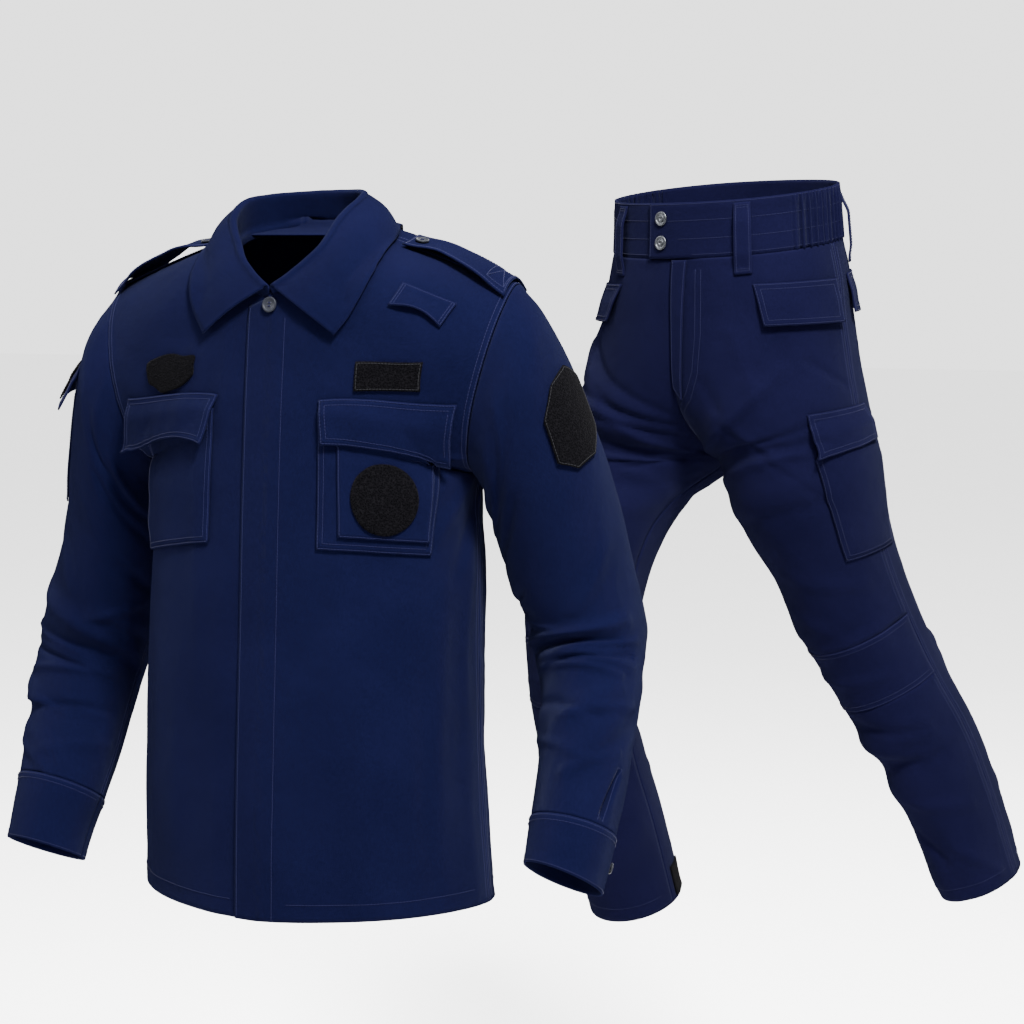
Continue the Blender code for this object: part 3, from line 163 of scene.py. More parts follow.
class Sheet:
    """A curved panel: a grid of points and outward normals, read between its lines."""

    def __init__(self, shape, us, vs, out=1, ring=False, folds=None, middle=False):
        self.us, self.vs, self.out, self.ring = us, vs, out, ring
        u, v = np.meshgrid(us, vs)
        self.points = shape(u, v)
        self.normals = self.grid_normals(middle)
        if folds is not None:
            self.points = self.points + self.normals * folds(u, v)[..., None]
            self.normals = self.grid_normals(middle)

    def grid_normals(self, middle):
        p = self.points
        if self.ring:
            across = np.empty_like(p)
            across[:, 1:-1] = p[:, 2:] - p[:, :-2]
            across[:, 0] = across[:, -1] = p[:, 1] - p[:, -2]
        else:
            across = np.gradient(p, axis=1)
        normals = self.out * unit(np.cross(unit(across), unit(np.gradient(p, axis=0))))
        if middle:
            on_middle = np.abs(p[..., 0]) < 1e-6
            normals[on_middle, 0] = 0
        return unit(normals)

    def at(self, u, v, lift=0.0):
        """Points on the grid's own facets, moved out by lift."""
        u, v = np.broadcast_arrays(np.asarray(u, float), np.asarray(v, float))
        if self.ring:
            u = self.us[0] + (u - self.us[0]) % (self.us[-1] - self.us[0])
        i = np.clip(np.searchsorted(self.us, u, side="right") - 1, 0, len(self.us) - 2)
        j = np.clip(np.searchsorted(self.vs, v, side="right") - 1, 0, len(self.vs) - 2)
        s = ((u - self.us[i]) / (self.us[i + 1] - self.us[i]))[..., None]
        t = ((v - self.vs[j]) / (self.vs[j + 1] - self.vs[j]))[..., None]

        def mix(a):
            return (a[j, i] * (1 - s) + a[j, i + 1] * s) * (1 - t) + (
                a[j + 1, i] * (1 - s) + a[j + 1, i + 1] * s
            ) * t

        lift = np.broadcast_to(np.asarray(lift, float), u.shape)[..., None]
        return mix(self.points) + unit(mix(self.normals)) * lift

    def find(self, x, y, last_row):
        """The (u, v) above last_row whose point has this x and y."""
        us = np.linspace(self.us[0], self.us[-1], 61)
        vs = np.linspace(self.vs[0], min(self.vs[-1], last_row), 121)
        u, v = np.meshgrid(us, vs)
        near = ((self.at(u, v)[..., :2] - (x, y)) ** 2).sum(-1)
        best = np.unravel_index(np.argmin(near), u.shape)
        a, b = u[best], v[best]
        for _ in range(12):
            here = self.at(a, b)[:2]
            du = (self.at(a + 1e-3, b)[:2] - here) / 1e-3
            dv = (self.at(a, b + 1e-2)[:2] - here) / 1e-2
            step = np.linalg.lstsq(np.stack([du, dv], 1), (x, y) - here, rcond=None)[0]
            a = float(np.clip(a + np.clip(step[0], -0.05, 0.05), self.us[0], self.us[-1]))
            b = float(np.clip(b + np.clip(step[1], -0.5, 0.5), self.vs[0], self.vs[-1]))
        return a, b


def trimmed(points, top=0.0, bottom=0.0, left=0.0, right=0.0):
    """The grid with its borders drawn in by these lengths, which leaves the seams' gaps."""
    points = points.copy()
    for gap, edge, inner in (
        (top, np.s_[0], np.s_[1]),
        (bottom, np.s_[-1], np.s_[-2]),
        (left, np.s_[:, 0], np.s_[:, 1]),
        (right, np.s_[:, -1], np.s_[:, -2]),
    ):
        if gap:
            points[edge] = points[edge] + unit(points[inner] - points[edge]) * gap
    return points


def clear(points, sheets, least):
    """The points, moved out of these panels wherever they are nearer than least."""
    found = []
    for sheet in sheets:
        u, v = np.meshgrid(np.linspace(0, 1, 41), np.linspace(sheet.vs[0], 6, 61))
        p, n = sheet.at(u, v).reshape(-1, 3), sheet.at(u, v, 1).reshape(-1, 3)
        found.append((p, n - p))
    p, n = (np.concatenate(part) for part in zip(*found))
    points = points.copy()
    for _ in range(3):
        for index in np.ndindex(points.shape[:-1]):
            near = np.argmin(((p - points[index]) ** 2).sum(-1))
            off = (points[index] - p[near]) @ n[near]
            if off < least:
                points[index] += n[near] * (least - off)
    return points


def level(height):
    return lambda s, t: np.full_like(s, height)


def mirrored(points):
    return points * vec(-1, 1, 1)


# The garment's sections and folds, as in the solids

ARMHOLE = (
    # x, y, z, from the shoulder point down the front to the underarm and up the back
    (0.250, 0.005, -0.055),
    (0.247, -0.036, -0.085),
    (0.236, -0.060, -0.140),
    (0.221, -0.062, -0.200),
    (0.208, -0.038, -0.248),
    (0.203, 0.004, -0.265),
    (0.208, 0.046, -0.246),
    (0.222, 0.074, -0.195),
    (0.237, 0.074, -0.135),
    (0.248, 0.046, -0.084),
)

SIDE = (
    # x, y, z of the side seam from the underarm to the hem
    (0.203, 0.004, -0.265),
    (0.205, 0.000, -0.350),
    (0.206, -0.002, -0.465),
    (0.210, -0.002, -0.605),
    (0.220, 0.000, -0.754),
)

FRONT = (
    # edge x, y, z | pull at the edge x, y, z | pull at the side x, y, z
    (0.088, 0.000, 0.000, 0.054, 0.000, -0.018, -0.054, 0.000, 0.017),
    (0.083, -0.040, -0.014, 0.052, -0.014, -0.008, -0.060, -0.014, 0.026),
    (0.060, -0.076, -0.040, 0.060, -0.018, -0.016, -0.055, -0.024, 0.032),
    (0.000, -0.100, -0.069, 0.085, -0.004, -0.030, -0.052, -0.036, 0.032),
    (0.000, -0.110, -0.140, 0.092, -0.004, -0.020, -0.034, -0.056, 0.022),
    (0.000, -0.118, -0.215, 0.098, -0.003, -0.010, -0.004, -0.070, 0.008),
    (0.000, -0.127, -0.325, 0.108, 0.000, 0.000, 0.002, -0.074, 0.000),
    (0.000, -0.134, -0.455, 0.112, 0.000, 0.000, 0.000, -0.078, 0.000),
    (0.000, -0.141, -0.605, 0.116, 0.000, 0.000, 0.000, -0.082, 0.000),
    (0.000, -0.146, -0.760, 0.100, 0.000, 0.002, 0.000, -0.070, 0.000),
)

BACK = (
    # edge x, y, z | pull at the edge x, y, z | pull at the side x, y, z
    (0.088, 0.000, 0.000, 0.054, 0.000, -0.018, -0.054, 0.000, 0.017),
    (0.066, 0.030, 0.008, 0.056, 0.014, 0.004, -0.062, 0.014, 0.030),
    (0.000, 0.045, 0.013, 0.072, 0.010, 0.006, -0.066, 0.014, 0.046),
    (0.000, 0.076, -0.060, 0.084, 0.010, 0.004, -0.050, 0.030, 0.024),
    (0.000, 0.094, -0.140, 0.092, 0.006, 0.000, -0.030, 0.050, 0.012),
    (0.000, 0.102, -0.220, 0.100, 0.002, 0.000, -0.004, 0.066, 0.004),
    (0.000, 0.102, -0.330, 0.108, 0.000, 0.000, 0.002, 0.070, 0.000),
    (0.000, 0.100, -0.458, 0.112, 0.000, 0.000, 0.000, 0.070, 0.000),
    (0.000, 0.107, -0.607, 0.116, 0.000, 0.000, 0.000, 0.074, 0.000),
    (0.000, 0.115, -0.762, 0.122, 0.000, 0.000, 0.000, 0.080, 0.000),
)

BODY_FOLDS = (
    # u, v to u, v, width, height
    (0.98, 4.9, 0.45, 5.6, 0.022, 0.0035),
    (0.96, 5.6, 0.62, 6.6, 0.020, -0.0030),
    (0.55, 6.6, 0.50, 8.8, 0.030, 0.0030),
    (0.86, 6.4, 0.82, 8.9, 0.028, -0.0030),
    (0.20, 7.4, 0.24, 9.0, 0.030, -0.0022),
)

BACK_FOLDS = (
    (0.96, 4.8, 0.50, 5.5, 0.024, 0.0040),
    (0.94, 5.5, 0.55, 6.7, 0.022, -0.0035),
    (0.35, 5.2, 0.42, 8.7, 0.035, 0.0035),
    (0.72, 6.4, 0.66, 8.9, 0.030, -0.0035),
)


def body_half(table, back):
    """shape(u, v) of half a front or half the back, with rows 0 to 5 ending on the armhole."""
    table = np.array(table)
    sign = -1 if back else 1

    def shape(u, v):
        row = through(table, v)
        arm = round_through(ARMHOLE, sign * np.clip(v, 0, ARMHOLE_ROWS) / len(ARMHOLE))
        side = through(SIDE, v, ARMHOLE_ROWS)
        end = np.where((v <= ARMHOLE_ROWS)[..., None], arm, side)
        start = row[..., 0:3].copy()
        start[..., 0] = np.where(v >= (2 if back else 3), 0, start[..., 0])
        return cubic(start, start + row[..., 3:6], end + row[..., 6:9], end, u)

    return shape


def settled(points):
    """The jacket's lower part hangs a little lower and further out on the wearer's right."""
    low = smooth((-points[..., 2] - 0.35) / 0.4)[..., None]
    return points + low * (vec(-BODY_LEAN, 0, 0) + points[..., :1] * vec(0, 0, HEM_TILT))


def u_at_x(shape, x, v):
    """Where a row reaches this x, by halving."""
    low, high = np.zeros_like(v), np.full_like(v, 0.5)
    for _ in range(30):
        mid = (low + high) / 2
        short = shape(mid, v)[..., 0] < x
        low, high = np.where(short, mid, low), np.where(short, high, mid)
    return (low + high) / 2


def front_right_shape(u, v):
    """The under side of the fly: it drops back near the centre to lie beneath the other front."""
    points = body_half(FRONT, False)(u, v)
    near = smooth((0.062 - points[..., 0]) / 0.030) * smooth((v - 2.2) / 0.7)
    points[..., 1] += FLY_DROP * near
    return mirrored(points)


SLEEVE_LEFT = (
    # outer x, y, z | inner x, y, z | half depth; the last two rows are the cuff's
    (0.283, 0.006, -0.092, 0.213, 0.004, -0.288, 0.077),
    (0.314, 0.014, -0.158, 0.216, 0.012, -0.312, 0.075),
    (0.343, 0.026, -0.243, 0.218, 0.022, -0.332, 0.071),
    (0.362, 0.038, -0.326, 0.222, 0.036, -0.362, 0.068),
    (0.371, 0.047, -0.382, 0.234, 0.045, -0.405, 0.066),
    (0.380, 0.052, -0.428, 0.251, 0.050, -0.442, 0.064),
    (0.384, 0.040, -0.472, 0.262, 0.038, -0.480, 0.060),
    (0.388, 0.016, -0.509, 0.277, 0.014, -0.514, 0.055),
    (0.391, -0.014, -0.551, 0.288, -0.016, -0.554, 0.050),
    (0.394, -0.042, -0.592, 0.295, -0.042, -0.590, 0.047),
    (0.394, -0.072, -0.640, 0.299, -0.072, -0.634, 0.045),
    (0.393, -0.087, -0.667, 0.301, -0.086, -0.655, 0.044),
    (0.390, -0.102, -0.695, 0.303, -0.100, -0.676, 0.043),
)

SLEEVE_RIGHT = (
    (0.266, 0.006, -0.090, 0.213, 0.004, -0.288, 0.077),
    (0.296, 0.014, -0.158, 0.216, 0.012, -0.314, 0.075),
    (0.325, 0.026, -0.250, 0.216, 0.022, -0.336, 0.072),
    (0.348, 0.037, -0.332, 0.220, 0.036, -0.370, 0.069),
    (0.373, 0.044, -0.397, 0.232, 0.042, -0.424, 0.067),
    (0.393, 0.048, -0.452, 0.250, 0.046, -0.474, 0.066),
    (0.402, 0.041, -0.510, 0.267, 0.040, -0.524, 0.063),
    (0.400, 0.018, -0.562, 0.272, 0.018, -0.573, 0.059),
    (0.389, -0.012, -0.606, 0.269, -0.012, -0.616, 0.054),
    (0.378, -0.046, -0.652, 0.269, -0.046, -0.664, 0.049),
    (0.375, -0.063, -0.686, 0.275, -0.062, -0.698, 0.047),
    (0.372, -0.080, -0.719, 0.278, -0.078, -0.731, 0.045),
)

ELBOW_LEFT = (
    # turn, row to turn, row, width, height: 0 is the outside, 0.25 the front, 0.5 the inside
    (0.08, 5.9, 0.42, 6.5, 0.013, 0.0060),
    (0.12, 6.6, 0.50, 6.9, 0.012, -0.0055),
    (0.06, 7.3, 0.38, 7.2, 0.012, 0.0050),
    (0.36, 5.2, 0.56, 6.0, 0.014, -0.0050),
    (0.10, 8.0, 0.34, 9.2, 0.013, 0.0045),
    (0.00, 8.6, 0.22, 10.2, 0.014, -0.0045),
    (0.38, 8.2, 0.52, 9.6, 0.015, 0.0040),
    (0.28, 1.0, 0.44, 2.8, 0.016, -0.0045),
    (0.34, 0.6, 0.47, 1.8, 0.014, 0.0045),
    (0.62, 1.0, 0.54, 2.8, 0.016, -0.0050),
    (0.92, 6.2, 0.66, 6.8, 0.016, 0.0050),
    (0.95, 7.2, 0.70, 7.0, 0.014, -0.0045),
    (0.90, 8.6, 0.72, 9.8, 0.016, 0.0040),
)

ELBOW_RIGHT = (
    (0.06, 5.4, 0.44, 6.6, 0.013, 0.0055),
    (0.10, 6.4, 0.48, 7.0, 0.012, -0.0055),
    (0.30, 5.6, 0.52, 6.0, 0.013, 0.0045),
    (0.04, 7.6, 0.20, 8.6, 0.014, 0.0060),
    (0.08, 8.5, 0.40, 8.7, 0.013, -0.0050),
    (0.00, 8.8, 0.30, 9.6, 0.013, 0.0040),
    (0.28, 1.0, 0.44, 2.8, 0.016, -0.0045),
    (0.62, 1.0, 0.54, 2.8, 0.016, -0.0050),
    (0.94, 6.0, 0.66, 6.9, 0.016, 0.0050),
    (0.92, 7.4, 0.70, 7.2, 0.014, -0.0045),
)


def ring_shape(table, flip):
    """shape(u, v) of a sleeve: u is the turn round it, and v goes from the armhole down."""
    table = np.array(table)
    outer, inner, deep = table[:, 0:3], table[:, 3:6], table[:, 6:7]
    centre, half = (outer + inner) / 2, (outer - inner) / 2

    def shape(u, v):
        armhole = round_through(ARMHOLE, u[0])
        axis = unit(np.gradient(np.concatenate([[armhole.mean(0)], centre]), axis=0))[1:]
        front = unit(np.cross(axis, half)) * deep
        angle = 2 * np.pi * u[0][:, None]
        rings = centre[:, None] + half[:, None] * np.cos(angle) + front[:, None] * np.sin(angle)
        every = np.concatenate([armhole[None], rings])
        points = through(every.reshape(len(every), -1), v[:, 0]).reshape(*u.shape, 3)
        return mirrored(points) if flip else points

    return shape


COLLAR = (
    # seam x, y, z | fold x, y, z | leaf edge x, y, z, from the centre back to the left front
    (0.000, 0.0445, 0.0150, 0.000, 0.040, 0.047, 0.000, 0.072, -0.014),
    (0.034, 0.0415, 0.0140, 0.033, 0.036, 0.047, 0.043, 0.070, -0.012),
    (0.064, 0.029, 0.0105, 0.059, 0.022, 0.046, 0.080, 0.050, -0.005),
    (0.0855, 0.000, 0.0025, 0.075, -0.007, 0.040, 0.106, 0.002, 0.001),
    (0.0810, -0.038, -0.0105, 0.070, -0.045, 0.019, 0.114, -0.044, -0.024),
    (0.0590, -0.074, -0.0370, 0.050, -0.080, -0.018, 0.109, -0.076, -0.060),
    (0.0320, -0.0925, -0.0560, 0.026, -0.096, -0.043, 0.097, -0.098, -0.088),
    (0.0030, -0.1000, -0.0680, 0.004, -0.1045, -0.060, 0.081, -0.108, -0.110),
)


def shoulder_strip(front, back, x_in, x_out, half_in, half_out, columns, lift):
    """A grid across the shoulder: lines along x, from the front to the back of the seam."""
    across = np.linspace(-1, 1, 5)
    along = np.linspace(0, 1, columns + 1)
    grid = np.empty((len(across), columns + 1, 3))
    for i, a in enumerate(along):
        x = x_in + (x_out - x_in) * a
        half = half_in + (half_out - half_in) * a
        for j, w in enumerate(across):
            y = 0.003 * a + w * half
            sheet = front if y < 0.003 * a else back
            u, v = sheet.find(x, y, 2.5)
            grid[j, i] = sheet.at(u, v, lift(a, w))
    return grid


CHEST_LEFT = {
    # corners: top inner, top outer, bottom inner, bottom outer
    "pocket": ((0.222, 4.55), (0.780, 3.75), (0.2055, 6.13), (0.664, 6.07)),
    "flap": ((0.2306, 4.330), (0.923, 2.860), (0.2286, 5.060), (0.882, 4.165)),
    "panel": ((0.2907, 4.85), (0.700, 4.45), (0.2882, 5.995), (0.652, 5.94)),
    "name": ((0.4135, 3.306), (0.712, 2.539), (0.400, 3.846), (0.735, 3.040)),
    "tab": ((0.4311, 1.503), (0.762, 1.292), (0.4286, 2.058), (0.7243, 1.848)),
}

CHEST_RIGHT = {
    "pocket": ((0.245, 4.50), (0.800, 3.85), (0.2231, 6.115), (0.702, 6.160)),
    "flap": ((0.2306, 4.267), (0.878, 2.985), (0.262, 5.090), (0.970, 3.810)),
}
ROUND_PATCH = (0.469, 5.525, 0.133, 0.395, -0.066)

SHIELD = (
    # u, v round the patch
    (0.684, 2.750), (0.600, 2.800), (0.524, 2.930), (0.450, 3.170), (0.381, 3.321),
    (0.384, 3.490), (0.389, 3.651), (0.460, 3.690), (0.534, 3.606), (0.597, 3.501),
    (0.650, 3.270), (0.694, 3.065),
)


def stack(*layers):
    """Lift of an outer face over these thicknesses, with air under each."""
    return sum(layers) + LAY * len(layers)


def rounds(sheet, outline, lift, shares):
    """Rings of points on a sheet, from the middle of a closed outline of (u, v) out to it."""
    outline = np.array(list(outline) + [outline[0]], float)
    middle = outline[:-1].mean(0)
    uv = middle + (outline - middle)[None] * np.array(shares)[:, None, None]
    return sheet.at(uv[..., 0], uv[..., 1], lift)


def cut_corners(share):
    """Draws the ends in over the first and last of the rows, which cuts a panel's corners off."""
    def ends(t):
        k = max(0.0, 1 - t / 0.22, 1 - (1 - t) / 0.22) * share
        return k, k
    return ends


WAIST_RING = (
    # middle z | half width | half depth | lean to the front
    (0.000, 0.157, 0.118, 0.180),
    (-0.035, 0.158, 0.120, 0.180),
    (-0.0695, 0.160, 0.1225, 0.180),
)

LEG_LEFT = (
    # z, inner x, outer x, share past the middle, middle y, hold, half depth, lean x, lean y
    (-0.070, 0.0, 0.160, 0.00, 0.000, 0.0, 0.1225, 0.00, 0.180),
    (-0.110, 0.0, 0.168, 0.00, 0.000, 0.0, 0.127, 0.00, 0.140),
    (-0.165, 0.0, 0.173, 0.04, 0.000, 0.0, 0.129, 0.00, 0.090),
    (-0.225, 0.0, 0.180, 0.15, 0.002, 0.0, 0.130, 0.00, 0.050),
    (-0.275, 0.0, 0.186, 0.42, 0.006, 0.0, 0.127, 0.00, 0.020),
    (-0.316, 0.0, 0.190, 0.78, 0.012, 0.0, 0.121, 0.00, 0.000),
    (-0.346, 0.001, 0.194, 1.00, 0.018, 0.0, 0.113, 0.00, 0.000),
    (-0.395, 0.015, 0.197, 1.00, 0.026, 0.5, 0.103, 0.06, 0.120),
    (-0.480, 0.043, 0.197, 1.00, 0.052, 1.0, 0.086, 0.15, 0.300),
    (-0.570, 0.074, 0.210, 1.00, 0.085, 1.0, 0.075, 0.25, 0.380),
    (-0.655, 0.107, 0.232, 1.00, 0.118, 1.0, 0.069, 0.30, 0.400),
    (-0.735, 0.138, 0.257, 1.00, 0.155, 1.0, 0.065, 0.30, 0.420),
    (-0.828, 0.161, 0.274, 1.00, 0.192, 1.0, 0.062, 0.22, 0.400),
    (-0.927, 0.183, 0.287, 1.00, 0.225, 1.0, 0.058, 0.20, 0.360),
)

LEG_RIGHT = (
    (-0.070, 0.0, 0.160, 0.00, 0.000, 0.0, 0.1225, 0.00, 0.180),
    (-0.110, 0.0, 0.170, 0.00, 0.000, 0.0, 0.127, 0.00, 0.140),
    (-0.165, 0.0, 0.181, 0.04, -0.002, 0.0, 0.129, 0.00, 0.090),
    (-0.225, 0.0, 0.198, 0.15, -0.010, 0.0, 0.130, 0.00, 0.050),
    (-0.275, 0.0, 0.208, 0.42, -0.022, 0.0, 0.127, 0.00, 0.020),
    (-0.316, 0.0, 0.216, 0.78, -0.040, 0.0, 0.121, 0.00, 0.000),
    (-0.346, 0.001, 0.218, 1.00, -0.062, 0.0, 0.113, 0.00, 0.000),
    (-0.395, 0.043, 0.219, 1.00, -0.100, 0.8, 0.103, 0.10, -0.150),
    (-0.465, 0.056, 0.218, 1.00, -0.137, 1.0, 0.088, 0.10, -0.300),
    (-0.575, 0.062, 0.206, 1.00, -0.160, 1.0, 0.075, 0.00, -0.080),
    (-0.660, 0.078, 0.214, 1.00, -0.145, 1.0, 0.070, 0.05, 0.150),
    (-0.740, 0.084, 0.218, 1.00, -0.118, 1.0, 0.067, 0.00, 0.280),
    (-0.830, 0.081, 0.209, 1.00, -0.085, 1.0, 0.064, 0.00, 0.340),
    (-0.947, 0.083, 0.209, 1.00, -0.041, 1.0, 0.062, 0.00, 0.350),
)

LEG_FOLDS_LEFT = (
    # turn, row to turn, row: 0 is the outside, 0.25 the front, 0.5 the inside, -0.25 the back
    (0.46, 5.8, 0.30, 3.4, 0.020, 0.0055),
    (0.45, 6.6, 0.14, 5.2, 0.022, -0.0060),
    (0.46, 7.3, 0.16, 6.6, 0.019, 0.0050),
    (0.40, 8.1, 0.20, 7.6, 0.022, -0.0045),
    (0.42, 8.7, 0.10, 9.1, 0.018, 0.0060),
    (0.44, 10.6, 0.12, 10.5, 0.017, 0.0070),
    (0.40, 11.0, 0.16, 10.8, 0.016, -0.0060),
    (0.46, 11.5, 0.22, 11.1, 0.017, 0.0050),
    (0.12, 12.4, 0.36, 12.7, 0.018, 0.0050),
    (0.30, 11.8, 0.20, 12.8, 0.022, -0.0045),
    (-0.40, 9.4, -0.12, 9.9, 0.020, 0.0060),
    (-0.42, 10.1, -0.14, 10.4, 0.018, -0.0055),
    (-0.44, 6.4, -0.18, 5.2, 0.024, 0.0055),
    (-0.38, 12.3, -0.14, 12.6, 0.020, 0.0045),
)

LEG_FOLDS_RIGHT = (
    (0.10, 2.2, 0.38, 5.2, 0.021, 0.0075),
    (0.06, 3.4, 0.40, 5.9, 0.020, -0.0070),
    (0.14, 5.6, 0.47, 6.1, 0.019, 0.0060),
    (0.12, 6.9, 0.46, 6.6, 0.018, -0.0055),
    (0.16, 7.7, 0.46, 7.1, 0.018, 0.0055),
    (0.20, 8.4, 0.44, 8.2, 0.019, -0.0050),
    (0.44, 10.4, 0.20, 10.9, 0.017, 0.0060),
    (0.46, 11.2, 0.24, 11.3, 0.017, -0.0055),
    (0.44, 12.0, 0.16, 12.5, 0.018, 0.0055),
    (-0.40, 9.6, -0.12, 9.9, 0.020, 0.0060),
    (-0.42, 10.4, -0.14, 10.6, 0.018, -0.0055),
    (-0.44, 6.4, -0.18, 5.2, 0.024, 0.0055),
)


def wave(x, y, z):
    """How far the waist's edge dips at the left and rises at the right, fading out below it."""
    angle = np.arctan2(y, x)
    return -0.0055 * np.cos(angle - math.radians(40)) * (1 - smooth((-0.07 - z) / 0.12))


def in_place(points):
    """From the trousers' frame to the row's: tipped about y, turned about z and moved."""
    c, s, a, b = math.cos(TURN), math.sin(TURN), math.cos(TIP), math.sin(TIP)
    turn = np.array(((c, -s, 0), (s, c, 0), (0, 0, 1)))
    tip = np.array(((a, 0, -b), (0, 1, 0), (b, 0, a)))
    return np.asarray(points) @ (turn @ tip).T + vec(*WAIST_AT)


def leg_shape(table, back, flip):
    """shape(u, v): u runs from the inside or centre seam, 0, to the outside seam, 1."""

    def shape(u, v):
        z, inner, outer, past, mid, hold, deep, lean_x, lean_y = np.moveaxis(
            through(table, v), -1, 0)
        past, hold, inner = np.clip(past, 0, 1), np.clip(hold, 0, 1), np.maximum(inner, 0)
        half = (outer - inner) / (1 + past)
        centre = inner + past * half
        angle = np.arccos(-past) * (1 - u)
        x = centre + half * np.cos(angle)
        y = (1 if back else -1) * deep * np.sin(angle)
        share = np.clip((x - inner) / np.maximum(outer - inner, 1e-6), 0, 1)
        height = z + lean_x * (x - centre) + lean_y * y
        height = height + wave(-x if flip else x, y, z)
        points = np.stack([x, y + mid * (hold + (1 - hold) * share), height], -1)
        return mirrored(points) if flip else points

    return shape


def leg_folds(table, back):
    """The leg's folds read on a panel, whose u = 0 is turn 0.5 and u = 1 turn 0."""
    sign = -1 if back else 1
    folds = Folds(table, *LEG_SPAN)
    return lambda u, v: folds(sign * 0.5 * (1 - u), v) * smooth((v - 0.3) / 1.5)


def waist_shape(u, v):
    """The waistband from its top end, u = 0 at the front, round the left side to under itself."""
    z, wide, deep, lean = np.moveaxis(through(WAIST_RING, v), -1, 0)
    angle = WAIST_START + 2 * math.pi * (1 + BAND_OVERLAP) * u
    outer = 0.0034 * smooth(1 - (u - 0.02) / 0.07)
    inner = -0.0006 * smooth((u - 0.9) / 0.05)
    side = np.minimum(np.abs(np.cos(angle)), 1)
    near = smooth((side - 0.86) / 0.06)
    ripple = 0.0022 * near * np.cos(angle * 2 * math.pi * 0.15 / 0.0115) * np.clip(v * 2, 0, 1)
    grow = outer + inner + ripple
    x = (wide + grow) * np.cos(angle)
    y = (deep + grow) * np.sin(angle)
    return np.stack([x, y, z + lean * y + wave(x, y, z)], -1)


def joined(front, back):
    """One sheet round the outside seam: u = 0 to 1 is the front, 1 to 2 the back, turned about."""
    rows = front.vs <= KNEE_TOP
    behind = back.points[back.vs <= KNEE_TOP][:, ::-1][:, 1:]
    side = from_grid(np.concatenate([front.points[rows], behind], 1), front.out)
    side.us, side.vs = np.concatenate([front.us, 2 - back.us[::-1][1:]]), front.vs[rows]
    return side


LOOPS = {
    # angle round the waist, 0 at the left side and -90 at the front | how far it stands off
    "front_left": (-55, 0.006),
    "front_right": (-126, 0.006),
    "side_left": (22, 0.008),
    "side_right": (158, 0.008),
    "back": (90, 0.006),
}


def band_point(angle, drop, off):
    """A point round the waist, this far below the band's top edge and outside it."""
    _, wide, deep, lean = through(WAIST_RING, np.minimum(drop / WAIST_DEPTH, 1) * 2)
    x, y = (wide + off) * math.cos(angle), (deep + off) * math.sin(angle)
    return vec(x, y, -drop + lean * y + wave(x, y, -drop))


FRONT_FLAP = {
    "left": ((0.43, 1.00), (0.965, 1.12), (0.48, 2.08), (0.965, 2.17)),
    "right": ((0.36, 0.92), (0.940, 1.04), (0.44, 1.88), (0.950, 1.92)),
}
BACK_FLAP = ((0.40, 1.05), (0.90, 1.05), (0.40, 2.00), (0.90, 2.00))
FLAP_LIFT = {"left": 0.0003, "right": 0.0010}
CARGO_POCKET = ((0.750, 4.95), (1.150, 4.65), (0.772, 7.88), (1.090, 7.98))
CARGO_FLAP = ((0.690, 4.29), (1.080, 4.06), (0.755, 6.00), (1.060, 5.25))
HEM_TAB = ((0.05, 12.62), (0.20, 12.62), (0.05, 12.96), (0.20, 12.96))


# Finer creases, drawn over the largest ones: strokes on the same panels

FRONT_CREASES = (
    # u, v to u, v, width, height
    (0.99, 3.9, 0.80, 4.3, 0.006, 0.0022),
    (0.99, 4.4, 0.72, 5.0, 0.007, -0.0022),
    (0.98, 4.8, 0.70, 5.9, 0.008, 0.0024),
    (0.99, 5.2, 0.80, 6.3, 0.008, -0.0020),
    (0.94, 5.6, 0.88, 7.4, 0.009, 0.0018),
    (0.30, 5.2, 0.27, 7.8, 0.010, 0.0012),
    (0.74, 6.3, 0.70, 8.6, 0.012, 0.0016),
    (0.62, 7.2, 0.66, 8.9, 0.010, -0.0012),
    (0.36, 6.8, 0.40, 8.8, 0.012, 0.0012),
    (0.92, 7.2, 0.90, 8.9, 0.010, 0.0014),
)

BACK_CREASES = (
    (0.99, 4.3, 0.62, 4.9, 0.008, 0.0024),
    (0.97, 4.9, 0.60, 6.0, 0.008, -0.0022),
    (0.90, 5.6, 0.82, 7.6, 0.009, 0.0018),
    (0.20, 5.4, 0.26, 8.5, 0.011, 0.0016),
    (0.50, 6.4, 0.54, 8.8, 0.011, -0.0014),
    (0.05, 3.2, 0.55, 3.6, 0.008, 0.0012),
)

SLEEVE_CREASES = (
    # turn, row to turn, row, width, height
    (0.04, 6.5, 0.30, 7.1, 0.005, 0.0032),
    (0.06, 7.0, 0.36, 7.6, 0.005, -0.0032),
    (0.10, 7.7, 0.42, 7.5, 0.006, 0.0030),
    (0.02, 8.3, 0.30, 8.9, 0.005, 0.0028),
    (0.16, 8.8, 0.44, 8.4, 0.005, -0.0024),
    (0.06, 9.4, 0.28, 10.2, 0.006, 0.0026),
    (0.20, 9.8, 0.46, 9.2, 0.006, 0.0022),
    (0.40, 6.2, 0.52, 7.4, 0.006, 0.0030),
    (0.44, 5.4, 0.30, 6.0, 0.006, 0.0026),
    (0.34, 4.6, 0.50, 5.4, 0.007, -0.0026),
    (0.24, 0.4, 0.34, 1.7, 0.006, 0.0018),
    (0.36, 1.2, 0.46, 3.0, 0.006, 0.0024),
    (0.30, 2.4, 0.45, 4.2, 0.007, -0.0020),
    (0.08, 4.0, 0.22, 5.4, 0.008, 0.0018),
    (0.62, 6.4, 0.86, 7.0, 0.006, 0.0030),
    (0.60, 7.2, 0.90, 7.7, 0.006, -0.0026),
    (0.66, 8.6, 0.90, 9.4, 0.006, 0.0024),
    (0.56, 1.4, 0.66, 3.4, 0.007, 0.0022),
    (0.90, 4.2, 0.74, 5.6, 0.008, 0.0018),
)
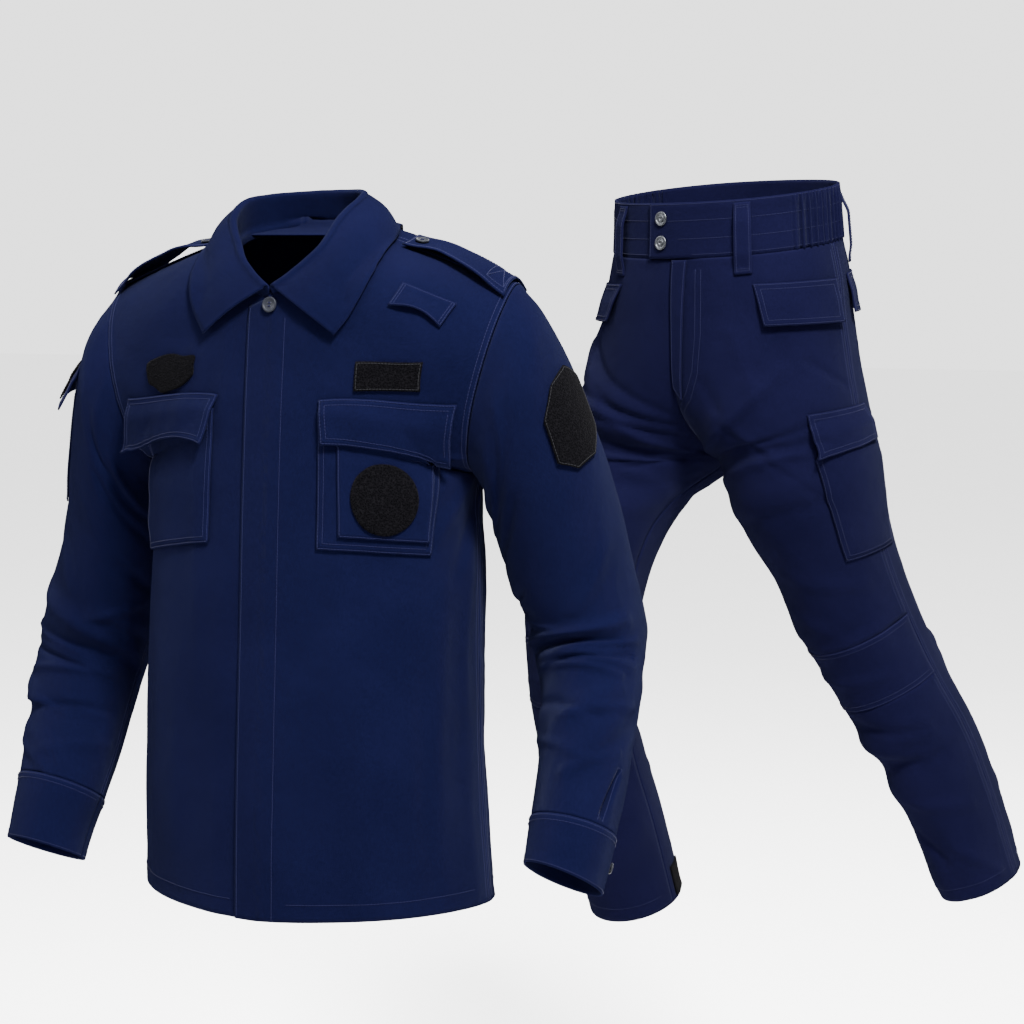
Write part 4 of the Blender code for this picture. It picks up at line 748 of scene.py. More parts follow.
FLAP_CREASES = (
    # s, t to s, t over a chest flap, width, height
    (0.30, 0.2, 0.24, 0.9, 0.010, 0.0012),
    (0.62, 0.3, 0.70, 1.0, 0.012, -0.0012),
)
# The left sleeve's slit above its cuff, one narrow deep stroke
CUFF_SLIT = (0.050, 9.85, 0.100, 10.75, 0.0036, -0.0095)

LEG_CREASES = (
    # turn, row to turn, row, width, height: the back of the leg has turns below 0
    (0.47, 6.0, 0.22, 3.0, 0.008, 0.0030),
    (0.44, 6.3, 0.10, 4.4, 0.008, -0.0028),
    (0.48, 6.9, 0.16, 5.8, 0.007, 0.0026),
    (0.40, 7.3, 0.12, 7.0, 0.007, -0.0022),
    (0.30, 7.9, 0.08, 8.3, 0.007, 0.0024),
    (0.36, 8.3, 0.20, 8.8, 0.006, 0.0022),
    (0.38, 8.9, 0.12, 8.8, 0.006, -0.0024),
    (0.40, 9.4, 0.14, 9.6, 0.006, 0.0026),
    (0.37, 10.10, 0.12, 10.55, 0.006, -0.0034),
    (0.36, 10.45, 0.14, 10.95, 0.008, 0.0030),
    (0.30, 10.90, 0.10, 11.00, 0.006, -0.0026),
    (0.34, 11.4, 0.08, 11.8, 0.006, 0.0024),
    (0.36, 11.9, 0.24, 12.4, 0.006, -0.0026),
    (0.20, 12.2, 0.06, 12.8, 0.006, 0.0022),
    (-0.46, 6.2, -0.16, 4.4, 0.009, 0.0026),
    (-0.44, 6.9, -0.20, 6.3, 0.008, -0.0024),
    (-0.44, 9.2, -0.10, 9.7, 0.006, 0.0030),
    (-0.40, 9.8, -0.14, 10.2, 0.006, -0.0028),
    (-0.36, 11.4, -0.10, 11.9, 0.007, 0.0022),
)

THIGH_CREASES = {
    # the same on one side only: the pull of the stride
    "right": (
        (0.15, 2.05, 0.48, 4.20, 0.005, -0.0024),
        (0.13, 2.40, 0.46, 4.45, 0.009, 0.0024),
        (0.055, 2.85, 0.49, 4.60, 0.005, -0.0024),
        (0.06, 3.15, 0.47, 4.85, 0.009, 0.0022),
        (0.06, 3.45, 0.485, 5.00, 0.005, -0.0022),
        (0.295, 6.30, 0.46, 5.70, 0.006, -0.0020),
    ),
    "left": (
        (0.36, 4.50, 0.125, 6.95, 0.0055, -0.0022),
        (0.38, 4.20, 0.155, 6.60, 0.010, 0.0020),
        (0.42, 3.20, 0.295, 5.65, 0.008, -0.0016),
        (0.155, 2.85, 0.02, 3.60, 0.006, -0.0018),
        (0.34, 2.10, 0.26, 4.40, 0.009, 0.0014),
    ),
}


def noise(x, y, seed):
    """Smooth noise from -1 to 1 on a seeded lattice of unit cells."""
    table = np.random.default_rng(seed).uniform(-1, 1, (LATTICE, LATTICE))
    i, j = np.floor(x).astype(int), np.floor(y).astype(int)
    s, t = smooth(x - i), smooth(y - j)
    a, b, c, d = (table[(j + down) % LATTICE, (i + across) % LATTICE]
                  for down in (0, 1) for across in (0, 1))
    return (a * (1 - s) + b * s) * (1 - t) + (c * (1 - s) + d * s) * t


def crumple(x, y, seed):
    """Small uneven dents and soft ridges of worn cloth, over metres across and down."""
    broad = noise(x / 0.045, y / 0.06, seed)
    fine = 1 - 2 * np.abs(noise(x / 0.017 + 3, y / 0.024 + broad, seed + 1))
    return 0.0009 * broad + 0.0003 * fine


def lengths(points, axis):
    """Metres from the grid's first line, along every line."""
    step = np.linalg.norm(np.diff(points, axis=axis), axis=-1)
    start = np.zeros_like(np.take(step, [0], axis))
    return np.concatenate([start, np.cumsum(step, axis)], axis)


def to_sides(points, sides):
    """Metres from each point to the nearest of these borders, and along that border."""
    x, y = lengths(points, 1), lengths(points, 0)
    away = {"L": x, "R": x[:, -1:] - x, "T": y, "B": y[-1:] - y}
    near, along = np.full_like(x, 9.0), np.zeros_like(x)
    for side in sides:
        closer = away[side] < near
        near = np.where(closer, away[side], near)
        along = np.where(closer, y if side in "LR" else x, along)
    return near, along


def creased(sheet, seed, strokes=None, sides="", strength=1.0):
    """Adds finer creases, the crumple and, along the sewn sides, a doubled seam that puckers."""
    edge, _ = to_sides(sheet.points, "LRTB")
    x, y = lengths(sheet.points, 1), lengths(sheet.points, 0)
    total = crumple(x, y, seed) * smooth(edge / 0.015) * strength
    if strokes is not None:
        total = total + strokes(*np.meshgrid(sheet.us, sheet.vs)) * strength * FINER
    if sides:
        near, along = to_sides(sheet.points, sides)
        total = total + SEAM_RISE * (1 - smooth((near - 0.008) / 0.003))
        pucker = noise(along / 0.009, near / 0.02, seed + 2) * np.exp(-(near / 0.012) ** 2)
        total = total + PUCKER * pucker
    middle = not sheet.ring and np.abs(sheet.points[-1, 0, 0]) < 1e-6
    sheet.points = sheet.points + sheet.normals * total[..., None]
    sheet.normals = sheet.grid_normals(middle)
    return sheet


def from_grid(points, out):
    """A sheet read from a finished grid, with u and v from 0 to 1."""
    sheet = Sheet.__new__(Sheet)
    sheet.points, sheet.out, sheet.ring = points, out, False
    sheet.us = np.linspace(0, 1, points.shape[1])
    sheet.vs = np.linspace(0, 1, points.shape[0])
    sheet.normals = sheet.grid_normals(False)
    return sheet


def refined(grid, columns, rows):
    """A coarse grid passed through smoothly by a finer one."""
    for cells in (rows, columns):
        lines = through(grid.reshape(len(grid), -1), np.linspace(0, len(grid) - 1, cells + 1))
        grid = np.moveaxis(lines.reshape(cells + 1, grid.shape[1], 3), 1, 0)
    return grid


def spread(sheet, corners, lift, spacing=0.004, ends=None, bow=0.0):
    """A fine sheet over the four-sided area between corners (u, v) of another one.

    The corners are top left, top right, bottom left and bottom right; bow lowers the last edge."""
    a, b, c, d = (np.array(corner, float) for corner in corners)
    edge = np.linspace(0, 1, 9)[:, None]
    wide, high = (
        np.linalg.norm(np.diff(sheet.at(*line.T), axis=0), axis=-1).sum()
        for line in (a + (b - a) * edge, a + (c - a) * edge))
    columns, rows = max(6, round(wide / spacing)), max(4, round(high / spacing))
    s, t = np.meshgrid(np.linspace(0, 1, columns + 1), np.linspace(0, 1, rows + 1))
    if ends is not None:
        for row, level_t in zip(s, t[:, 0]):
            first, last = ends(level_t)
            row[:] = first + row * (1 - first - last)
    place = (a * (1 - s[..., None]) + b * s[..., None]) * (1 - t[..., None]) + (
        c * (1 - s[..., None]) + d * s[..., None]) * t[..., None]
    place[..., 1] += bow * np.sin(np.pi * s) * t
    points = sheet.at(place[..., 0], place[..., 1], lift(s, t))
    return from_grid(points, sheet.out)


# Cloth pieces


def link(name, mesh, material, slot, *replaced):
    """A finished piece: it rides on the body, takes its finish and stands for its CAD nodes."""
    obj = bpy.data.objects.new(name, mesh)
    bpy.context.scene.collection.objects.link(obj)
    mesh.materials.append(bpy.data.materials[material])
    mesh.polygons.foreach_set("use_smooth", [True] * len(mesh.polygons))
    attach(obj, BODY)
    if replaced:
        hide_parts(*replaced)
    return obj


def cloth(node, grids, wall, material, out, rests_on, place=None, cut=None):
    """A piece of cloth over its CAD node, from grids of points on its outer face.

    Each grid comes with the share of its width where its cut is measured from, and its own
    borders. The attribute "cloth" keeps, at each point, metres across, down and to the edge."""
    bm = bmesh.new()
    layer = bm.verts.layers.float_vector.new("cloth")
    area = wide = high = 0.0
    for grid, anchor, sides in grids:
        down, across = grid.shape[0] - 1, grid.shape[1] - 1
        x, y = lengths(grid, 1), lengths(grid, 0)
        edge, _ = to_sides(grid, sides)
        even = x - x[:, -1:] * anchor
        p, q = grid[1:, 1:] - grid[:-1, :-1], grid[1:, :-1] - grid[:-1, 1:]
        area += np.linalg.norm(np.cross(p, q), axis=-1).sum() / 2
        wide, high = wide + x[:, -1].max(), max(high, y[-1].max())
        shown = grid if place is None else place(grid)
        made = bmesh.ops.create_grid(bm, x_segments=across, y_segments=down, size=0.5)
        for vert, point, values in zip(made["verts"], shown.reshape(-1, 3), zip(
                even.ravel(), y.ravel(), np.minimum(edge, 0.05).ravel())):
            vert.co = point
            vert[layer] = values
    if len(grids) > 1 or cut is not None:
        bmesh.ops.remove_doubles(bm, verts=bm.verts, dist=MERGE)
    bm.normal_update()
    if out < 0:
        bmesh.ops.reverse_faces(bm, faces=bm.faces)
    mesh = bpy.data.meshes.new(f"{node}_cloth")
    bm.to_mesh(mesh)
    bm.free()
    obj = link(mesh.name, mesh, material, material, node)
    shell = obj.modifiers.new("wall", "SOLIDIFY")
    shell.thickness, shell.offset, shell.use_even_offset = wall, -1.0, False
    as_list(rests_on)
    return obj


def laid(node, sheet, wall, *under, material="jacket_navy", place=None, settle=False):
    """A piece cut in one that lies on others."""
    grid = settled(sheet.points) if settle else sheet.points
    cloth(node, [(grid, 0.5, "LRTB")], wall, material, sheet.out, under, place)


# Sewing


class Sewing:
    """Runs of stitches, gathered into one piece of thread."""

    def __init__(self, name, material, slot, place=None):
        self.name, self.material, self.slot, self.place = name, material, slot, place
        self.bm = bmesh.new()

    def run(self, points, normals):
        """One thread along these points, which dips into the cloth between its stitches."""
        settings = bpy.context.scene.uniform_sewing
        step = np.linalg.norm(np.diff(points, axis=0), axis=-1)
        length = np.append(0.0, np.cumsum(step))
        count = int(length[-1] / settings.pitch)
        if count < 2:
            return
        at = (np.arange(count)[:, None] + np.array([0.0, 0.18, 0.82])).ravel() / count
        at = np.append(at, 1.0) * length[-1]
        centre = np.stack([np.interp(at, length, points[:, k]) for k in range(3)], -1)
        normal = unit(np.stack([np.interp(at, length, normals[:, k]) for k in range(3)], -1))
        lift = np.append(np.tile([-0.0004, 0.00025, 0.00025], count), -0.0004)
        centre = centre + normal * lift[:, None]
        side = unit(np.cross(normal, unit(np.gradient(centre, axis=0))))
        rim = ((-0.5, -0.3), (0.0, 0.5), (0.5, -0.3))
        grid = np.stack([centre + (side * a + normal * b) * settings.thread for a, b in rim], 1)
        grid = grid if self.place is None else self.place(grid)
        made = bmesh.ops.create_grid(self.bm, x_segments=2, y_segments=len(at) - 1, size=0.5)
        for vert, point in zip(made["verts"], grid.reshape(-1, 3)):
            vert.co = point

    def path(self, sheet, path, lift=0.0):
        """A run along straight stretches between these (u, v) of a sheet."""
        path = np.array(path, float)
        t = np.linspace(0, len(path) - 1, 60 * (len(path) - 1) + 1)
        self.line(sheet, *(np.interp(t, np.arange(len(path)), path[:, k]) for k in (0, 1)), lift)

    def line(self, sheet, u, v, lift=0.0):
        points = sheet.at(u, v, lift)
        self.run(points, sheet.at(u, v, lift + 1) - points)

    def border(self, sheet, *insets, sides="TBLR", share=(0, 1)):
        """Runs this far inside a panel's borders: T top, B bottom, L left, R right."""
        for inset, side in ((inset, side) for inset in insets for side in sides):
            upright = side in "LR"
            across, crossing = lengths(sheet.points, 1), lengths(sheet.points, 0)
            if not upright:
                across, crossing = crossing.T, across.T
            lines, ends = (sheet.us, sheet.vs) if upright else (sheet.vs, sheet.us)
            at = np.full(len(across), inset) if side in "LT" else across[:, -1] - inset
            near = np.array([np.interp(a, row, lines) for a, row in zip(at, across)])
            crossing = crossing[:, 0]
            low = max(inset, share[0] * crossing[-1])
            high = min(crossing[-1] - inset, share[1] * crossing[-1])
            far = np.linspace(low, high, max(8, int((high - low) / 0.003)))
            ends, near = np.interp(far, crossing, ends), np.interp(far, crossing, near)
            self.line(sheet, *((near, ends) if upright else (ends, near)))

    def finish(self):
        mesh = bpy.data.meshes.new(self.name)
        bmesh.ops.recalc_face_normals(self.bm, faces=self.bm.faces)
        self.bm.to_mesh(mesh)
        self.bm.free()
        return link(self.name, mesh, self.material, self.slot)


# The panels in fine grids


@lru_cache(None)
def body_panels():
    us, vs = steps((0, 1, 60)), steps((0, 3, 34), (3, 5, 30), (5, 9, 96))
    strokes = {
        "front_left": BODY_FOLDS,
        "front_right": [(*stroke, w * 1.1, h * 0.9) for *stroke, w, h in BODY_FOLDS],
        "back_left": BACK_FOLDS, "back_right": BACK_FOLDS,
    }
    back = body_half(BACK, True)
    shapes = {
        "front_left": (body_half(FRONT, False), -1), "front_right": (front_right_shape, 1),
        "back_left": (back, 1), "back_right": (lambda u, v: mirrored(back(u, v)), -1),
    }
    panels = {}
    for seed, (name, (shape, out)) in enumerate(shapes.items()):
        folds = Folds(strokes[name], *BODY_SPAN)
        fine = Folds(FRONT_CREASES if "front" in name else BACK_CREASES, *BODY_SPAN)
        panel = Sheet(shape, us, vs, out, middle=True, folds=folds)
        panels[name] = creased(panel, 10 + seed, fine, "RT")
    return panels


@lru_cache(None)
def sleeve_panels(side):
    """A sleeve's tube and its cuff, split along the seam at the inside of the arm."""
    flip = side == "right"
    table = SLEEVE_RIGHT if flip else SLEEVE_LEFT
    out, end = -1 if flip else 1, len(table)
    seam = end - CUFF_ROWS
    us = steps((-0.5, 0.03, 44), (0.03, 0.13, 34), (0.13, 0.5, 31))
    shape = ring_shape(table, flip)
    folds = Folds(ELBOW_RIGHT if flip else ELBOW_LEFT, *SLEEVE_SPAN, ring=True)
    tube = Sheet(shape, us, steps((0, 2, 24), (2, seam, 104)), out, True, folds)
    up = 0.2 if flip else 0.0
    fine = [(u0, v0 - up, u1, v1 - up, *size) for u0, v0, u1, v1, *size in SLEEVE_CREASES]
    fine = Folds(fine + ([] if flip else [CUFF_SLIT]), *SLEEVE_SPAN, ring=True)
    creased(tube, 20 + flip, fine)
    band = Sheet(shape, us, steps((seam, end, 18)), out, True, folds)
    band.points = band.points + band.normals * CUFF_EASE
    creased(band, 24 + flip, None, "TB", 0.4)
    return tube, band


@lru_cache(None)
def leg_panels(side):
    flip = side == "right"
    table, strokes = (LEG_RIGHT, LEG_FOLDS_RIGHT) if flip else (LEG_LEFT, LEG_FOLDS_LEFT)
    every = steps((0, 6, 66), (6, 9, 42), (9, 13, 72))
    panels = {}
    for name, start, end in (("thigh", 0, KNEE_TOP), ("knee", KNEE_TOP, KNEE_END),
                             ("shin", KNEE_END, HEM_ROW), ("front", 0, HEM_ROW),
                             ("back", 0, HEM_ROW)):
        back = name == "back"
        out = (1 if back else -1) * (-1 if flip else 1)
        lines = every[(every > start) & (every < end)]
        lines = np.unique(np.concatenate([[start], lines, [end]]))
        panel = Sheet(leg_shape(table, back, flip), steps((0, 1, 52)), lines, out,
                      folds=leg_folds(strokes, back))
        fine = leg_folds(LEG_CREASES + THIGH_CREASES[side], back)
        panels[name] = creased(panel, 30 + flip + 2 * back, fine, "TB" if name == "knee" else "R")
    return panels


@lru_cache(None)
def waist_panel():
    us = steps((0, 0.17, 44), (0.17, 0.35, 120), (0.35, 0.62, 66), (0.62, 0.80, 120), (0.80, 1, 50))
    return Sheet(waist_shape, us, steps((0, 2, 14)), -1)


# Jacket


def dress_body(context):
    panels = body_panels()
    left, right = panels["front_left"], panels["front_right"]
    rows = left.vs >= 3
    plain = body_half(FRONT, False)
    w, v = np.meshgrid(np.linspace(1, 0, 8), left.vs[rows])
    over = plain(u_at_x(plain, FLY_WIDTH * w, v), v)
    over = over + (left.points[rows, :1] - plain(np.zeros((rows.sum(), 1)), v[:, :1]))
    over[..., 0] *= -1
    over[:, -1] = left.points[rows, 0]
    cut = {name: trimmed(panel.points, top=SEAM, right=SEAM) for name, panel in panels.items()}
    back = np.concatenate([cut["back_right"][:, ::-1], cut["back_left"][:, 1:]], 1)
    for name, grids, out, rests_on in (
        ("front_left", [(settled(cut["front_left"]), 0, "RTB"), (settled(over), 1, "LB")],
         left.out, ("collar", "epaulette_base_left")),
        ("front_right", [(settled(cut["front_right"]), 0, "LRTB")], right.out, ("collar",)),
        ("back", [(settled(back), 0.5, "LRTB")], 1, ("collar",)),
    ):
        cloth(name, grids, CLOTH, "jacket_navy", out, rests_on)
    sewing = Sewing("body_stitching", "thread", "jacket_navy", settled)
    for name, panel in panels.items():
        sewing.border(panel, EDGE, ROW, sides="R")
        sewing.border(panel, HEM, sides="B")
        if "back" in name:
            sewing.border(panel, ROW, sides="T")
        else:
            sewing.border(panel, 0.0018, sides="T", share=(0, 0.62))
    sewing.border(from_grid(over, -1), 0.0025, sides="L")
    v = left.vs[rows]
    at = u_at_x(plain, np.full(len(v), PLACKET - FLY_WIDTH), v)
    sewing.line(left, at[4:], v[4:])
    sewing.finish()


def dress_sleeves(context):
    sewing = Sewing("sleeve_stitching", "thread", "jacket_navy")
    for side in ("left", "right"):
        tube, band = sleeve_panels(side)
        cloth(f"sleeve_{side}", [(trimmed(tube.points, top=0.0009, bottom=SEAM), 0.5, "LRTB")],
              CLOTH, "jacket_navy", tube.out, (f"front_{side}", "back"))
        cloth(f"cuff_{side}", [(trimmed(band.points, top=SEAM), 0.5, "TB")], DOUBLE,
              "jacket_navy", tube.out, (f"sleeve_{side}",))
        sewing.border(band, 0.0022, sides="TB")
        sewing.border(band, 0.0075, sides="T")
        sewing.border(tube, 0.0022, sides="LR")
    tube = sleeve_panels("left")[0]
    for path in (((0.036, 9.75), (0.092, 10.9)), ((0.060, 9.75), (0.116, 10.9)),
                 ((0.036, 9.75), (0.060, 9.75))):
        sewing.path(tube, path)
    sewing.finish()


def dress_collar(context):
    """Stand and leaf in one sheet: up from the neck's seam, over the fold and down to the edge."""
    table = np.array(COLLAR)
    around = np.concatenate([mirrored(table[:0:-1].reshape(-1, 3)).reshape(-1, 9), table])
    row = through(around, np.linspace(0, len(around) - 1, 113))
    seam, fold, edge = row[:, 0:3], row[:, 3:6], row[:, 6:9]
    fold[:, 2] += COLLAR_TILT * np.minimum(fold[:, 0], 0)
    fold[:, 0] -= COLLAR_SHIFT * smooth((fold[:, 2] + 0.02) / 0.04)
    outward = unit((edge - seam) * vec(1, 1, 0))
    up, r = vec(0, 0, 1) * FOLD_RADIUS, outward * FOLD_RADIUS
    lines = [seam * (1 - t) + (fold - r) * t for t in np.linspace(0, 1, 9)]
    for angle in np.linspace(20, 160, 8):
        a = math.radians(angle)
        lines.append(fold - r * math.cos(a) + up * math.sin(a))
    bulge = unit(np.cross(np.gradient(seam, axis=0), edge - fold))
    bulge = bulge * np.sign((bulge * (outward + vec(0, 0, 0.6))).sum(-1, keepdims=True))
    for t in np.linspace(0, 1, 15):
        lines.append((fold + r) * (1 - t) + edge * t + bulge * 0.006 * math.sin(math.pi * t))
    grid = np.stack(lines)
    sheets = tuple(body_panels().values())
    grid[:1] = clear(grid[:1] - outward * 0.0014, sheets, 0.0024)
    grid[-12:] = clear(grid[-12:], sheets, DOUBLE + 0.0026)
    tucked = seam[None] - outward * 0.0052 - vec(0, 0, 0.0085)
    collar = creased(from_grid(np.concatenate([tucked, grid]), -1), 41, strength=0.5)
    cloth("collar", [(collar.points, 0.5, "LRTB")], DOUBLE, "jacket_navy", -1,
          ("back", "front_left"))
    sewing = Sewing("collar_stitching", "thread", "jacket_navy")
    sewing.border(from_grid(collar.points[-15:], -1), 0.0055, 0.0012, sides="BLR")
    sewing.finish()


def dress_straps(context):
    sewing = Sewing("strap_stitching", "thread", "jacket_navy")
    for side, flip, arch in (("right", -1, SHOULDER_ARCH), ("left", 1, SHOULDER_ARCH * 0.55)):
        front, back = body_panels()[f"front_{side}"], body_panels()[f"back_{side}"]
        x_in, x_out = flip * 0.122, flip * 0.243

        def over(a, w):
            rise = smooth(a / 0.35) * smooth((1 - a) / 0.30)
            return LAY * 2 + 0.0010 + CLOTH + DOUBLE + arch * rise + 0.002 * w * w * rise

        base = shoulder_strip(front, back, x_in, x_out, 0.013, 0.015, 9,
                              lambda a, w: LAY + 0.0006 + CLOTH)
        strap = shoulder_strip(front, back, x_in - flip * 0.001, x_out + flip * 0.003,
                               0.021, 0.029, 9, over)
        for name, grid, wall in (("epaulette_base", base, CLOTH), ("epaulette", strap, DOUBLE)):
            sheet = creased(from_grid(refined(grid, 36, 14), flip), 50 + flip)
            laid(f"{name}_{side}", sheet, wall, f"front_{side}", "back")
            sewing.border(sheet, 0.0024)
        normal = unit(np.cross(strap[2, 2] - strap[2, 0], strap[3, 1] - strap[1, 1]))
        button(f"button_epaulette_{side}", strap[2, 1], normal * np.sign(normal[2]), SMALL_BUTTON)
        x_box(sewing, from_grid(refined(strap, 36, 14), flip), 0.80, 0.97, 0.12, 0.88)
    sewing.finish()


def x_box(sewing, sheet, start, end, low, high):
    """The stitched square with a cross that holds a strap's end."""
    a, b, c, d = (start, low), (end, low), (end, high), (start, high)
    for path in ((a, b, c, d, a), (a, c), (b, d)):
        sewing.path(sheet, path)


def dress_chest(context):
    sewing = Sewing("chest_stitching", "thread", "jacket_navy", settled)
    for side, table, stand, flare, bow in (("left", CHEST_LEFT, 0.0025, 0.0, 0.15),
                                           ("right", CHEST_RIGHT, 0.006, 0.010, 0.0)):
        panel = body_panels()[f"front_{side}"]
        pocket = spread(panel, table["pocket"], lambda s, t: stack(CLOTH) + 0.0010
                        + 0.0015 * np.sin(np.pi * s) * np.sin(np.pi * t) ** 0.7)
        flap = spread(panel, table["flap"], lambda s, t: stack(DOUBLE) + (stand + flare * s * s)
                      * t**3 + smooth(t / 0.4) * (stack(CLOTH, CLOTH) + 0.0024), bow=bow)
        creased(pocket, 60, strength=0.7)
        creased(flap, 61, Folds(FLAP_CREASES, *FLAP_SPAN), strength=0.7)
        laid(f"chest_pocket_{side}", pocket, CLOTH, f"front_{side}", settle=True)
        laid(f"chest_flap_{side}", flap, DOUBLE, f"front_{side}", settle=True)
        sewing.border(pocket, EDGE, ROW, sides="BLR")
        sewing.border(flap, EDGE, ROW)
    tab = spread(body_panels()["front_left"], CHEST_LEFT["tab"],
                 lambda s, t: stack(CLOTH) + 0.0014 + 0.005 * np.sin(np.pi * s)
                 * smooth((t - 0.2) / 0.8)
                 + 0.0016 * t * np.sin(7 * s + 0.6) * np.sin(np.pi * s), 0.003, bow=-0.13)
    laid("chest_tab", tab, CLOTH, "front_left", settle=True)
    sewing.border(tab, EDGE)
    for at in (0.07, 0.93):
        sewing.path(tab, ((at, 0.06), (at, 0.94)))
    sewing.finish()


def dress_patches(context):
    left, right = body_panels()["front_left"], body_panels()["front_right"]
    over_pocket = stack(CLOTH) + 0.0026
    backing = spread(left, CHEST_LEFT["panel"], level(over_pocket + stack(CLOTH)))
    creased(backing, 70, strength=0.5)
    laid("badge_panel_left", backing, CLOTH, "chest_pocket_left", settle=True)
    navy = Sewing("panel_stitching", "thread", "jacket_navy", settled)
    navy.border(backing, 0.0018)
    navy.finish()
    sewing = Sewing("patch_stitching", "thread_black", "loop_black", settled)
    u, v, wide, high, slant = ROUND_PATCH
    circle = [(u + wide * math.cos(a), v + high * math.sin(a) + slant * math.cos(a))
              for a in np.linspace(0, 2 * math.pi, 73)[:-1]]
    disc = rounds(left, circle, over_pocket + stack(CLOTH, PATCH) + 0.0003, np.linspace(0, 1, 14))
    round_piece("patch_round", disc[:, ::-1], left.out, "badge_panel_left", sewing)
    outline = round_through(SHIELD, np.linspace(0, 1, 73)[:-1])
    shield = rounds(right, outline, stack(PATCH) + 0.0003, np.linspace(0, 1, 12))
    round_piece("patch_shield", shield, right.out, "front_right", sewing)
    name = spread(left, CHEST_LEFT["name"], level(stack(PATCH) + 0.0005))
    laid("patch_name", name, PATCH, "front_left", material="loop_black", settle=True)
    sewing.border(name, 0.0020)
    sewing.finish()
    sewing = Sewing("sleeve_patch_stitching", "thread_black", "loop_black")
    for side, corners, lift, ends, under in (
        ("left", ((0.012, 1.69), (0.168, 1.69), (0.012, 2.86), (0.168, 2.86)),
         level(stack(PATCH) + 0.0022), cut_corners(0.3), "sleeve_left"),
        ("right", ((-0.080, 1.81), (0.105, 1.69), (-0.080, 2.315), (0.105, 2.195)),
         lambda s, t: stand_off(s, 0.12 + 0.8 * t) + stack(PATCH) + 0.0006, None,
         "sleeve_flap_right"),
    ):
        patch = spread(sleeve_panels(side)[0], corners, lift, ends=ends)
        laid(f"patch_sleeve_{side}", patch, PATCH, under, material="loop_black")
        sewing.border(patch, 0.0022)
    sewing.finish()


def round_piece(node, grid, out, under, sewing):
    """A patch of rings round its middle, with the points where its rings meet merged."""
    rim = grid[-1]
    wide = max(np.linalg.norm(rim - point, axis=-1).max() for point in rim)
    cloth(node, [(settled(grid), 0.5, "B")], PATCH, "loop_black", out, (under,),
          cut=(wide, wide))
    sewing.border(from_grid(grid, out), 0.0020, sides="B", share=(-1, 2))


def stand_off(s, t):
    """How far the right sleeve's flap stands off the sleeve, from its seam down to its edge."""
    return stack(DOUBLE) + 0.0006 + smooth(t / 0.4) * 0.0045 + 0.012 * t * t


def dress_sleeve_pocket(context):
    tube = sleeve_panels("right")[0]
    pocket = spread(tube, ((-0.095, 1.92), (0.120, 1.80), (-0.095, 3.70), (0.120, 3.60)),
                    lambda s, t: stack(CLOTH) + 0.003 * np.sin(np.pi * s) * np.sin(np.pi * t))
    flap = spread(tube, ((-0.105, 1.75), (0.130, 1.60), (-0.105, 2.38), (0.130, 2.23)), stand_off)
    creased(pocket, 80, strength=0.8)
    laid("sleeve_pocket_right", pocket, CLOTH, "sleeve_right")
    laid("sleeve_flap_right", flap, DOUBLE, "sleeve_right")
    sewing = Sewing("sleeve_pocket_stitching", "thread", "jacket_navy")
    sewing.border(pocket, 0.0018, sides="BLR")
    sewing.border(flap, 0.0018)
    sewing.border(flap, ROW, sides="BLR")
    sewing.finish()


# Buttons and snaps


def frame_at(at, normal):
    """A matrix that stands a piece on a face: its z is the face's normal."""
    z = Vector(unit(np.asarray(normal, float)))
    x = Vector((0, 1, 0.2)).cross(z).normalized()
    turned = Matrix((x, z.cross(x), z)).transposed().to_4x4()
    turned.translation = Vector(at)
    return turned


def turned_profile(bm, profile, count=40):
    """A profile of (radius, height) spun full round."""
    verts = [bm.verts.new((x, 0, z)) for x, z in profile]
    edges = [bm.edges.new(pair) for pair in zip(verts, verts[1:])]
    bmesh.ops.spin(bm, geom=verts + edges, cent=(0, 0, 0), axis=(0, 0, 1), dvec=(0, 0, 0),
                   angle=2 * math.pi, steps=count, use_merge=True, use_duplicate=False)
    bmesh.ops.remove_doubles(bm, verts=bm.verts, dist=0.00001)
    bmesh.ops.recalc_face_normals(bm, faces=bm.faces)


def hard_piece(name, bm, material, slot, matrix, place, *replaced):
    for vert in bm.verts:
        point = np.array(matrix @ vert.co)
        vert.co = point if place is None else place(point)
    mesh = bpy.data.meshes.new(name)
    bm.to_mesh(mesh)
    bm.free()
    return link(name, mesh, material, slot, *replaced)


